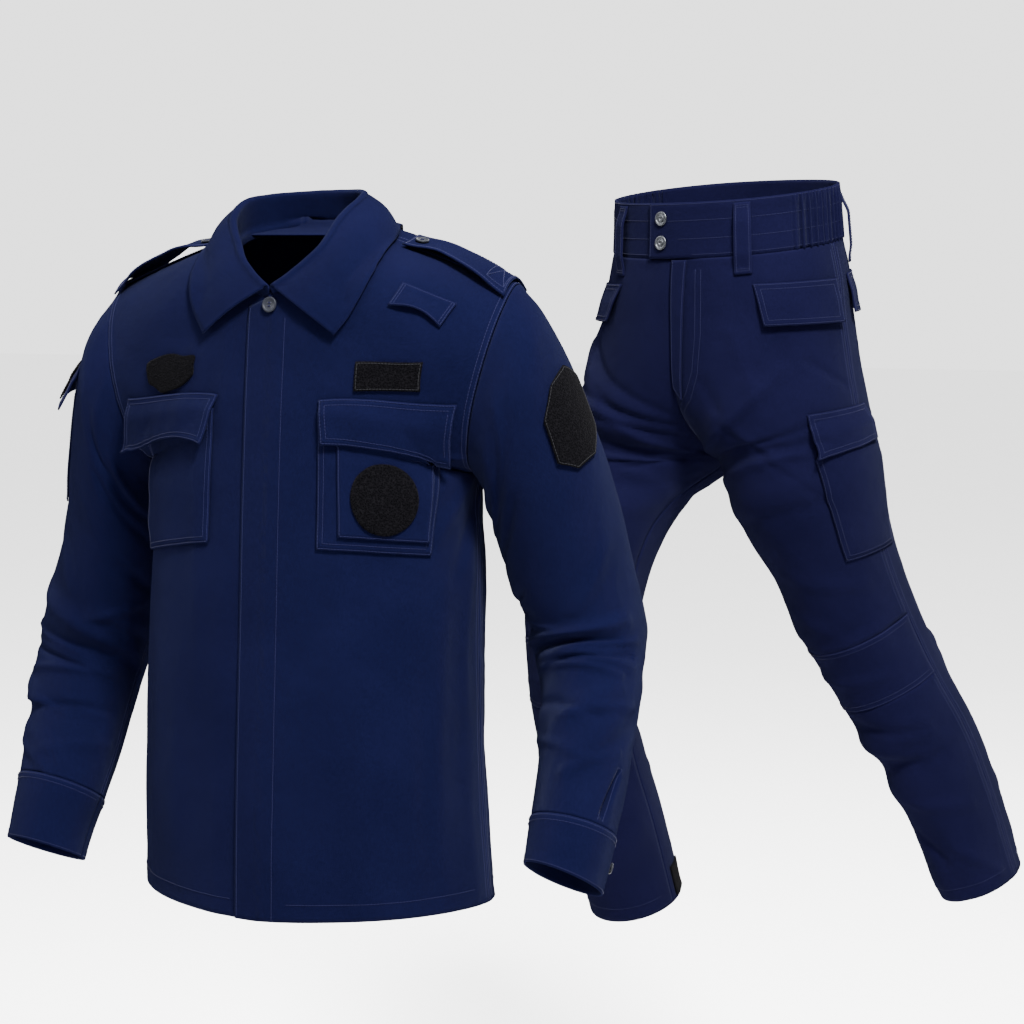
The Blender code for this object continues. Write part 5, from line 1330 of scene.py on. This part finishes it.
def button(node, at, normal, radius, place=None):
    """A four-hole button: a turned disc with a rolled rim, painted-shade discs for its holes and a
    cross of thread.
    """
    matrix, foot = frame_at(at, normal), BUTTON_FOOT
    h = 0.0032 * radius / BUTTON
    bm = bmesh.new()
    turned_profile(bm, [(0.0, foot)] + [(radius * r, foot + h * z) for r, z in (
        (0.90, 0), (0.97, 0.25), (1, 0.55), (0.97, 0.85), (0.91, 1), (0.80, 0.97),
        (0.72, 0.78), (0.66, 0.66), (0, 0.60))])
    hard_piece(f"{node}_disc", bm, "button_plastic", "button_plastic", matrix, place, node)
    top, off = foot + h * 0.66, radius * 0.20
    # The holes are not cut: near-black discs laid just over the top are painted shade where the
    # holes would be dark.
    bm = bmesh.new()
    for x, y in ((-1, -1), (1, -1), (1, 1), (-1, 1)):
        made = bmesh.ops.create_circle(bm, cap_ends=True, segments=16, radius=radius * 0.105)
        bmesh.ops.translate(bm, verts=made["verts"], vec=(x * off, y * off, top + 0.00004))
    hard_piece(f"{node}_holes", bm, "hole_painted_shade", "button_plastic", matrix, place)
    bm = bmesh.new()
    for y, lane in ((y, lane) for y in (-1, 1) for lane in (-0.4, 0.4)):
        made = bmesh.ops.create_cone(bm, segments=8, radius1=0.00032, radius2=0.00032,
                                     depth=off * 2.2, cap_ends=True)
        bmesh.ops.rotate(bm, verts=made["verts"], cent=(0, 0, 0),
                         matrix=Matrix.Rotation(math.pi / 2, 3, "Y"))
        bmesh.ops.translate(bm, verts=made["verts"],
                            vec=(0, y * off + lane * 0.0008, top + 0.0003))
    hard_piece(f"{node}_thread", bm, "thread", "jacket_navy", matrix, place)


def dress_buttons(context):
    places = [("button_neck", body_panels()["front_left"], 0.001, 3.16, BUTTON)]
    for side in ("left", "right"):
        band = sleeve_panels(side)[1]
        places.append((f"cuff_button_{side}", band, 0.92, (band.vs[0] + band.vs[-1]) / 2,
                       CUFF_BUTTON))
    for node, sheet, u, v, radius in places:
        at = sheet.at(u, v)
        button(node, at, sheet.at(u, v, 1) - at, radius)


def dress_snaps(context):
    """Two snaps' caps: a rolled ring round a dished middle."""
    band = waist_panel()
    for name, v in (("upper", 0.55), ("lower", 1.42)):
        at = band.at(0.020, v)
        bm = bmesh.new()
        turned_profile(bm, [(SNAP * r, SNAP_FOOT + z) for r, z in (
            (0, 0), (0.94, 0), (1, 0.0005), (0.98, 0.0012), (0.90, 0.0017), (0.80, 0.0017),
            (0.74, 0.0013), (0.70, 0.0006), (0.50, 0.0005), (0.44, 0.0012), (0.34, 0.0017),
            (0.24, 0.0015), (0.20, 0.0004), (0, 0.0002))], 56)
        hard_piece(f"snap_{name}_ring", bm, "snap_metal", "snap_metal",
                   frame_at(at, band.at(0.020, v, 1) - at), in_place, f"snap_{name}")


# Trousers

TROUSERS = {"material": "trouser_navy", "place": in_place}


def trouser_sewing(name):
    return Sewing(name, "thread_dark", "trouser_navy", in_place)


def dress_legs(context):
    sewing, hems = trouser_sewing("leg_stitching"), trouser_sewing("hem_stitching")
    for side in ("left", "right"):
        panels = leg_panels(side)
        thigh, knee = f"front_thigh_{side}", f"front_knee_{side}"
        for part, node, above in (("thigh", thigh, "waistband"), ("knee", knee, thigh),
                                  ("shin", f"front_shin_{side}", knee),
                                  ("back", f"back_leg_{side}", "waistband")):
            panel = panels[part]
            grid = trimmed(panel.points, top=SEAM, bottom=SEAM, left=SEAM, right=SEAM)
            cloth(node, [(grid, 0.5, "LRTB")], CLOTH, "trouser_navy", panel.out, (above,),
                  in_place)
            if part == "knee":
                sewing.border(panel, LEG_EDGE, sides="TBR")
                sewing.border(panel, LEG_ROW, sides="TB")
            else:
                sewing.border(panel, LEG_EDGE, LEG_ROW, sides="R")
            if part in ("shin", "back"):
                hems.border(panel, HEM, sides="B")
    front = leg_panels("left")["thigh"]
    sewing.path(front, ((0.012, 4.0), (0.010, 6.0)))
    sewing.path(front, ((0.036, 4.1), (0.034, 6.0)))
    sewing.finish()
    hems.finish()


def dress_waist(context):
    band = waist_panel()

    def gathers(u, v):
        side = np.abs(np.cos(WAIST_START + 2 * math.pi * (1 + BAND_OVERLAP) * u))
        return GATHER_RISE * smooth((side - 0.86) / 0.06) * np.cos(2 * math.pi * u / GATHER_STEP)

    creased(band, 90, gathers, strength=0.4)
    cloth("waistband", [(band.points, 0.5, "LRTB")], BAND, "trouser_navy", -1,
          ("front_thigh_left", "front_thigh_right", "back_leg_left", "back_leg_right"), in_place)
    sewing = trouser_sewing("waist_stitching")
    sewing.border(band, 0.0022, 0.0230, 0.0460, 0.0660, sides="T")
    sewing.border(band, 0.0025, sides="LR")
    for name, (degrees, stand) in LOOPS.items():
        angle = math.radians(degrees)
        grid = np.empty((31, 9, 3))
        for j, t in enumerate(np.linspace(0, 1, 31)):
            drop = (0.014 if name == "side_left" else 0.004) + LOOP_LENGTH * t
            swell = 0.010 * smooth((drop - WAIST_DEPTH) / 0.05)
            off = (DOUBLE + LOOP_LIFT + (0.0006 if "side" in name else 0) + swell
                   + stand * smooth(min(t, 1 - t) / 0.3))
            for i, s in enumerate(np.linspace(-1, 1, 9)):
                grid[j, i] = band_point(angle + s * LOOP_WIDTH / 2 / 0.14, drop, off)
        loop = from_grid(grid, -1)
        laid(f"belt_loop_{name}", loop, DOUBLE, "waistband", **TROUSERS)
        sewing.border(loop, 0.0030, sides="LR")
        for v in (0.04, 0.07, 0.93, 0.96):
            sewing.path(loop, ((0.1, v), (0.9, v)))
    sewing.finish()


def dress_pockets(context):
    """Fly, hip flaps, cargo pockets and hem tabs."""
    sewing = trouser_sewing("pocket_stitching")
    left = leg_panels("left")["front"]
    fly = spread(left, ((0.004, 0.06), (0.090, 0.06), (0.004, 3.40), (0.052, 3.80)),
                 level(stack(CLOTH) + 0.0014))
    laid("fly", fly, CLOTH, "front_thigh_left", **TROUSERS)
    sewing.border(fly, 0.0020, sides="BLR")
    sewing.path(left, ((0.135, 0.4), (0.132, 2.2), (0.115, 3.0), (0.075, 3.55), (0.025, 3.9)))
    sewing.path(left, ((0.165, 0.4), (0.162, 2.2), (0.143, 3.1), (0.100, 3.75), (0.040, 4.1)))

    def flap_lift(s, t):
        return stack(DOUBLE) + 0.004 * smooth(t / 0.6) + 0.003 * t * t

    def cargo_lift(s, t):
        return stack(CLOTH) + 0.0009 + 0.009 * np.sin(np.pi * s) ** 0.6 * np.sin(np.pi * t) ** 0.5

    for side in ("left", "right"):
        front, back = leg_panels(side)["front"], leg_panels(side)["back"]
        outside = joined(front, back)

        def cargo_flap_lift(s, t, rise=FLAP_LIFT[side]):
            return stack(DOUBLE) + rise + smooth(t / 0.5) * 0.009 + 0.002 * t

        thigh, seat = f"front_thigh_{side}", f"back_leg_{side}"
        for name, sheet, corners, lift, wall, under in (
            (f"front_flap_{side}", front, FRONT_FLAP[side], flap_lift, DOUBLE, thigh),
            (f"back_flap_{side}", back, BACK_FLAP, flap_lift, DOUBLE, seat),
            (f"cargo_pocket_{side}", outside, CARGO_POCKET, cargo_lift, CLOTH, thigh),
            (f"cargo_flap_{side}", outside, CARGO_FLAP, cargo_flap_lift, DOUBLE, thigh),
        ):
            piece = creased(spread(sheet, corners, lift), 100 + len(name), strength=0.8)
            laid(name, piece, wall, under, **TROUSERS)
            sewing.border(piece, LEG_EDGE, LEG_ROW, sides="BLR" if "pocket" in name else "TBLR")
        tab = spread(back, HEM_TAB, level(stack(PATCH)))
        laid(f"hem_tab_{side}", tab, PATCH, seat, material="loop_black", place=in_place)
    sewing.finish()


# Materials


def shader_maths(operation, reflected=False):
    """A method of Value that adds the Math node of one Python operator."""
    def combined(self, other):
        first, second = (other, self) if reflected else (self, other)
        return self.graph.math(operation, first, second)
    return combined


class Value:
    """A number that comes out of a shader node, which Python's operators combine with others."""

    def __init__(self, graph, socket):
        self.graph, self.socket = graph, socket

    __add__ = __radd__ = shader_maths("ADD")
    __mul__ = __rmul__ = shader_maths("MULTIPLY")
    __sub__, __rsub__ = shader_maths("SUBTRACT"), shader_maths("SUBTRACT", True)
    __truediv__, __rtruediv__ = shader_maths("DIVIDE"), shader_maths("DIVIDE", True)
    __pow__, __rpow__ = shader_maths("POWER"), shader_maths("POWER", True)

    def clamped(self):
        found = self + 0.0
        found.socket.node.use_clamp = True
        return found


class Graph:
    """The nodes of one material. place holds the object's own coordinates."""

    def __init__(self, name):
        self.material = bpy.data.materials.get(name) or bpy.data.materials.new(name)
        self.material.use_nodes = True
        self.tree = self.material.node_tree
        self.tree.nodes.clear()
        self.place = self.node("ShaderNodeTexCoord", 3)

    def node(self, kind, output=0, inputs=(), **settings):
        """Any node: its settings by name, its inputs as (socket, value) pairs."""
        made = self.tree.nodes.new(kind)
        for key, value in settings.items():
            setattr(made, key, value)
        for key, value in inputs:
            self.feed(made.inputs[key], value)
        return Value(self, made.outputs[output])

    def feed(self, socket, value):
        if isinstance(value, Value):
            self.tree.links.new(value.socket, socket)
        else:
            socket.default_value = value

    def math(self, operation, first, second):
        return self.node("ShaderNodeMath", operation=operation, inputs=((0, first), (1, second)))

    def mix(self, factor, first, second):
        """A colour between two colours."""
        first, second = (c if isinstance(c, Value) else (*c, 1) for c in (first, second))
        return self.node("ShaderNodeMix", 2, ((0, factor), (6, first), (7, second)),
                         data_type="RGBA")

    def scaled(self, vector, sizes):
        return self.node("ShaderNodeVectorMath", operation="MULTIPLY",
                         inputs=((0, vector), (1, sizes)))

    def noise(self, vector, scale, detail=2.0, rough=0.5):
        return self.node("ShaderNodeTexNoise", 0, (("Vector", vector), ("Scale", scale),
                                                   ("Detail", detail), ("Roughness", rough)))

    def bump(self, height, depth, strength=1.0, under=None):
        inputs = (("Height", height), ("Distance", depth), ("Strength", strength))
        return self.node("ShaderNodeBump", 0, inputs + ((("Normal", under),) if under else ()))

    def finish(self, links, constants):
        """The surface: varying inputs are linked, and even ones are set on their sockets."""
        shader = self.tree.nodes.new("ShaderNodeBsdfPrincipled")
        for key, value in (*links, *constants):
            if isinstance(value, tuple) and len(value) == 3:
                value = (*value, 1)
            self.feed(shader.inputs[key], value)
        output = self.tree.nodes.new("ShaderNodeOutputMaterial")
        self.tree.links.new(shader.outputs[0], output.inputs[0])


def woven(name, colour, light, sheen):
    """Twill cloth: fine diagonal lines, slubs, soft wear along its seams, a little unevenness."""
    graph = Graph(name)
    cut = graph.node("ShaderNodeAttribute", 1, attribute_name="cloth")
    parts = graph.node("ShaderNodeSeparateXYZ", inputs=((0, cut),))
    across, down, edge = (Value(graph, parts.socket.node.outputs[i]) for i in range(3))
    twill = graph.math("SINE", (across + down) * (2 * math.pi / TWILL_STEP), 0.0)
    yarn = graph.math("SINE", (across - down) * (2 * math.pi / YARN_STEP), 0.0)
    slub = graph.noise(graph.scaled(cut, (900.0, 160.0, 0.0)), 1.0, 2.0, 0.6)
    grain = graph.noise(graph.place, 420.0, 3.0, 0.65)
    patchy = graph.noise(graph.place, 9.0, 3.0, 0.55)
    worn = (1.0 - edge / WORN_WIDTH).clamped() ** 2.0
    tone = (0.42 + (patchy - 0.5) * 0.7 + (slub - 0.5) * 0.55 + (grain - 0.5) * 0.6
            + twill * 0.05 + worn * 0.22).clamped()
    weave = graph.bump(twill * 0.35 + yarn * 0.2 + slub * 0.7 + grain * 0.8, WEAVE_DEPTH, 0.55)
    soft = graph.noise(graph.scaled(cut, (70.0, 55.0, 0.0)), 1.0, 3.0, 0.55)
    graph.finish(
        (("Base Color", graph.mix(tone, colour, light)),
         ("Roughness", 0.80 + (grain - 0.5) * 0.16),
         ("Normal", graph.bump(soft, SOFT_DEPTH, 0.5, weave))),
        (("Sheen Weight", sheen), ("Sheen Roughness", 0.45), ("Sheen Tint", (0.55, 0.62, 0.90)),
         ("Specular IOR Level", 0.0)))


def loop_pile(name, colour, light):
    """Short black loops of a fastening patch."""
    graph = Graph(name)
    loops = graph.node("ShaderNodeTexVoronoi", 0, (("Vector", graph.place), ("Scale", 520.0)))
    fuzz = graph.noise(graph.place, 900.0, 3.0, 0.7)
    tone = (loops * 0.9 + (fuzz - 0.5) * 0.8).clamped()
    graph.finish(
        (("Base Color", graph.mix(tone, colour, light)), ("Roughness", 0.86 + fuzz * 0.1),
         ("Normal", graph.bump(loops + fuzz * 0.6, 0.0012, 0.8))),
        (("Sheen Weight", 0.004), ("Sheen Roughness", 0.5), ("Specular IOR Level", 0.0)))


def thread_finish(name, colour, light):
    """Sewing thread, with strands a little lighter than others."""
    graph = Graph(name)
    strands = graph.noise(graph.place, 1600.0, 2.0, 0.6)
    graph.finish(
        (("Base Color", graph.mix(strands, colour, light)), ("Roughness", 0.55 + strands * 0.2),
         ("Normal", graph.bump(strands, 0.0003, 0.5))),
        (("Sheen Weight", 0.02), ("Specular IOR Level", 0.02)))


def plastic(name, colour, light):
    """Moulded button plastic with faint cloudy streaks and handling wear."""
    graph = Graph(name)
    cloudy = graph.noise(graph.place, 160.0, 4.0, 0.6)
    scuff = graph.noise(graph.place, 1300.0, 2.0, 0.7)
    graph.finish(
        (("Base Color", graph.mix(cloudy, colour, light)), ("Roughness", 0.30 + scuff * 0.28),
         ("Normal", graph.bump(scuff, 0.0002, 0.25))),
        (("Specular IOR Level", 0.05), ("IOR", 1.5)))


def metal(name, colour, light):
    """Dull plated snap metal, brushed round and slightly tarnished."""
    graph = Graph(name)
    tarnish = graph.noise(graph.place, 380.0, 4.0, 0.6)
    scratch = graph.noise(graph.scaled(graph.place, (400.0, 400.0, 3000.0)), 1.0, 2.0, 0.6)
    graph.finish(
        (("Base Color", graph.mix(tarnish, colour, light)),
         ("Roughness", 0.26 + tarnish * 0.22), ("Normal", graph.bump(scratch, 0.0002, 0.3))),
        (("Metallic", 1.0),))


def plain(name, colour, rough):
    """One even colour, hardly mottled."""
    graph = Graph(name)
    faint = graph.noise(graph.place, 3.0, 3.0, 0.5)
    darker = tuple(c * 0.97 for c in colour)
    graph.finish((("Base Color", graph.mix(faint, colour, darker)),), (("Roughness", rough),))


def make_materials(context):
    scene = context.scene
    for settings, cloth_name, thread_name in (
        (scene.uniform_jacket, "jacket_navy", "thread"),
        (scene.uniform_trousers, "trouser_navy", "thread_dark"),
    ):
        woven(cloth_name, tuple(settings.colour), tuple(settings.highlight), settings.sheen)
        thread = tuple(settings.thread)
        thread_finish(thread_name, thread, tuple(c * 1.6 for c in thread))
    loop_pile("loop_black", (0.0002, 0.0002, 0.0003), (0.0018, 0.0017, 0.0021))
    thread_finish("thread_black", (0.0015, 0.0015, 0.0020), (0.0060, 0.0060, 0.0070))
    plastic("button_plastic", (0.0022, 0.0025, 0.0038), (0.0062, 0.0068, 0.0095))
    # Near-black for the button holes' discs: painted shade standing in for the holes' depth.
    plain("hole_painted_shade", (0.002, 0.002, 0.003), 0.9)
    metal("snap_metal", (0.014, 0.015, 0.017), (0.044, 0.046, 0.051))
    plain("floor_pale", tuple(scene.uniform_stage.floor), 0.9)


# Stage


def build_stage(context):
    """A pale floor, soft lights and the camera where the photograph was taken from."""
    scene, stage = context.scene, context.scene.uniform_stage
    bm = bmesh.new()
    bmesh.ops.create_grid(bm, x_segments=1, y_segments=1, size=30.0)
    bmesh.ops.translate(bm, verts=bm.verts, vec=(0, 0, FLOOR_Z))
    mesh = bpy.data.meshes.new("floor")
    bm.to_mesh(mesh)
    bm.free()
    floor = bpy.data.objects.new("floor", mesh)
    scene.collection.objects.link(floor)
    mesh.materials.append(bpy.data.materials["floor_pale"])
    world = scene.world or bpy.data.worlds.new("studio")
    scene.world = world
    world.use_nodes = True
    sky = world.node_tree.nodes["Background"]
    sky.inputs["Color"].default_value = (*stage.backdrop, 1)
    sky.inputs["Strength"].default_value = stage.fill
    for name, place, size, power in (
        ("overhead", (0.3, -0.6, 2.6), 2.4, stage.overhead),
        ("key", (1.9, -1.6, 2.6), 0.8, stage.key),
        ("side", (-2.4, -0.8, 1.2), 1.2, stage.key * 0.1),
        ("behind", (0.6, 3.0, 1.7), 1.8, stage.key * 0.13),
    ):
        light = bpy.data.lights.new(name, "AREA")
        light.energy, light.size = power, size
        lamp = bpy.data.objects.new(name, light)
        aimed = (Vector(AIM) - Vector(place)).to_track_quat("-Z", "Y")
        lamp.matrix_world = Matrix.Translation(place) @ aimed.to_matrix().to_4x4()
        scene.collection.objects.link(lamp)
    turn, pitch = math.radians(CAMERA_TURN), math.radians(CAMERA_PITCH)
    right = Vector((math.cos(turn), math.sin(turn), 0))
    ahead = Vector((-math.sin(turn), math.cos(turn), 0))
    look = ahead * math.cos(pitch) + Vector((0, 0, math.sin(pitch)))
    lens = bpy.data.cameras.new("camera")
    lens.lens, lens.sensor_width = CAMERA_LENS, 36.0
    camera = bpy.data.objects.new("camera", lens)
    turned = Matrix((right, right.cross(look), -look)).transposed().to_4x4()
    turned.translation = right * CAMERA_ASIDE - ahead * CAMERA_BACK + Vector((0, 0, CAMERA_UP))
    camera.matrix_world = turned
    scene.collection.objects.link(camera)
    scene.camera = camera


# The add-on: settings, one operator for each group of pieces, and a panel


def colour_setting(name, description, default):
    return bpy.props.FloatVectorProperty(name=name, description=description, default=default,
                                         subtype="COLOR", min=0, max=1)


def sheen_setting(description):
    return bpy.props.FloatProperty(name="Sheen", description=description, default=0.008, min=0,
                                   max=1, subtype="FACTOR")


class JacketSettings(bpy.types.PropertyGroup):
    colour: colour_setting("Cloth", "The jacket cloth's darker yarn", (0.0007, 0.0008, 0.0041))
    highlight: colour_setting("Cloth, lighter", "The jacket cloth's lighter yarn",
                              (0.0018, 0.0020, 0.0095))
    thread: colour_setting("Thread", "The jacket's sewing thread", (0.0017, 0.0019, 0.0087))
    sheen: sheen_setting("Soft light on the jacket's nap")


class TrousersSettings(bpy.types.PropertyGroup):
    colour: colour_setting("Cloth", "The trouser cloth's darker yarn", (0.0008, 0.0008, 0.0038))
    highlight: colour_setting("Cloth, lighter", "The trouser cloth's lighter yarn",
                              (0.0020, 0.0019, 0.0084))
    thread: colour_setting("Thread", "The trousers' sewing thread", (0.0017, 0.0018, 0.0076))
    sheen: sheen_setting("Soft light on the trousers' nap")


class SewingSettings(bpy.types.PropertyGroup):
    pitch: bpy.props.FloatProperty(
        name="Stitch length", description="Length of one stitch", default=0.0036, min=0.001,
        max=0.01, unit="LENGTH")
    thread: bpy.props.FloatProperty(
        name="Thread width", description="Width of the sewing thread", default=0.0008,
        min=0.0002, max=0.002, unit="LENGTH")


class StageSettings(bpy.types.PropertyGroup):
    floor: colour_setting("Floor", "The floor's colour", (0.93, 0.93, 0.93))
    backdrop: colour_setting("Backdrop", "The studio's even light", (1.0, 1.0, 1.0))
    fill: bpy.props.FloatProperty(
        name="Fill", description="Strength of the even light", default=2.4, min=0, max=5)
    key: bpy.props.FloatProperty(
        name="Key", description="Power of the light high at the side, which shows the folds",
        default=1400.0, min=0, max=4000, unit="POWER")
    overhead: bpy.props.FloatProperty(
        name="Overhead", description="Power of the soft light above", default=330.0, min=0,
        max=1000, unit="POWER")


class UniformMaterials(bpy.types.Operator):
    """Cloth, loop pile, thread, plastic and metal"""

    bl_idname = "uniform.materials"
    bl_label = "Make materials"

    def execute(self, context):
        make_materials(context)
        return {"FINISHED"}


class UniformStage(bpy.types.Operator):
    """Pale floor, soft lights and the camera"""

    bl_idname = "uniform.stage"
    bl_label = "Build stage"

    def execute(self, context):
        build_stage(context)
        return {"FINISHED"}


class UniformBody(bpy.types.Operator):
    """Fronts and back of the jacket, with their seams"""

    bl_idname = "uniform.body"
    bl_label = "Dress jacket body"

    def execute(self, context):
        dress_body(context)
        return {"FINISHED"}


class UniformSleeves(bpy.types.Operator):
    """Both sleeves and cuffs"""

    bl_idname = "uniform.sleeves"
    bl_label = "Dress sleeves"

    def execute(self, context):
        dress_sleeves(context)
        return {"FINISHED"}


class UniformCollar(bpy.types.Operator):
    """The folded collar"""

    bl_idname = "uniform.collar"
    bl_label = "Dress collar"

    def execute(self, context):
        dress_collar(context)
        return {"FINISHED"}


class UniformStraps(bpy.types.Operator):
    """Shoulder straps, their bases and buttons"""

    bl_idname = "uniform.straps"
    bl_label = "Dress shoulder straps"

    def execute(self, context):
        dress_straps(context)
        return {"FINISHED"}


class UniformChest(bpy.types.Operator):
    """Chest pockets, flaps and the tab"""

    bl_idname = "uniform.chest"
    bl_label = "Dress chest pockets"

    def execute(self, context):
        dress_chest(context)
        return {"FINISHED"}


class UniformPatches(bpy.types.Operator):
    """Loop patches on the chest and sleeves"""

    bl_idname = "uniform.patches"
    bl_label = "Dress patches"

    def execute(self, context):
        dress_patches(context)
        return {"FINISHED"}


class UniformSleevePocket(bpy.types.Operator):
    """The right sleeve's pocket and flap"""

    bl_idname = "uniform.sleeve_pocket"
    bl_label = "Dress sleeve pocket"

    def execute(self, context):
        dress_sleeve_pocket(context)
        return {"FINISHED"}


class UniformButtons(bpy.types.Operator):
    """Neck and cuff buttons"""

    bl_idname = "uniform.buttons"
    bl_label = "Make buttons"

    def execute(self, context):
        dress_buttons(context)
        return {"FINISHED"}


class UniformLegs(bpy.types.Operator):
    """Leg panels with their seams and hems"""

    bl_idname = "uniform.legs"
    bl_label = "Dress trouser legs"

    def execute(self, context):
        dress_legs(context)
        return {"FINISHED"}


class UniformWaist(bpy.types.Operator):
    """Gathered waistband and its belt loops"""

    bl_idname = "uniform.waist"
    bl_label = "Dress waistband"

    def execute(self, context):
        dress_waist(context)
        return {"FINISHED"}


class UniformPockets(bpy.types.Operator):
    """Fly, hip flaps, cargo pockets and hem tabs"""

    bl_idname = "uniform.pockets"
    bl_label = "Dress trouser pockets"

    def execute(self, context):
        dress_pockets(context)
        return {"FINISHED"}


class UniformSnaps(bpy.types.Operator):
    """The waistband's two snaps"""

    bl_idname = "uniform.snaps"
    bl_label = "Make snaps"

    def execute(self, context):
        dress_snaps(context)
        return {"FINISHED"}


OPERATORS = (
    UniformMaterials, UniformStage, UniformBody, UniformSleeves, UniformCollar,
    UniformStraps, UniformChest, UniformPatches, UniformSleevePocket, UniformButtons,
    UniformLegs, UniformWaist, UniformPockets, UniformSnaps,
)
SETTINGS = {
    "uniform_jacket": JacketSettings,
    "uniform_trousers": TrousersSettings,
    "uniform_sewing": SewingSettings,
    "uniform_stage": StageSettings,
}


class UniformPanel(bpy.types.Panel):
    """The uniform's settings and the steps that make it"""

    bl_label = "Work uniform"
    bl_idname = "VIEW3D_PT_uniform"
    bl_space_type = "VIEW_3D"
    bl_region_type = "UI"
    bl_category = "Uniform"

    def draw(self, context):
        for name, kind in SETTINGS.items():
            box = self.layout.box()
            box.label(text=name.split("_")[1].capitalize())
            for key in kind.__annotations__:
                box.prop(getattr(context.scene, name), key)
        for operator in OPERATORS:
            self.layout.operator(operator.bl_idname)


def register():
    for kind in (*SETTINGS.values(), *OPERATORS, UniformPanel):
        bpy.utils.register_class(kind)
    for name, kind in SETTINGS.items():
        setattr(bpy.types.Scene, name, bpy.props.PointerProperty(type=kind))


def unregister():
    for name in SETTINGS:
        delattr(bpy.types.Scene, name)
    for kind in (UniformPanel, *reversed(OPERATORS), *reversed(SETTINGS.values())):
        bpy.utils.unregister_class(kind)


def main():
    register()
    for operator in OPERATORS:
        getattr(bpy.ops.uniform, operator.bl_idname.split(".")[1])()


if __name__ == "__main__":
    main()
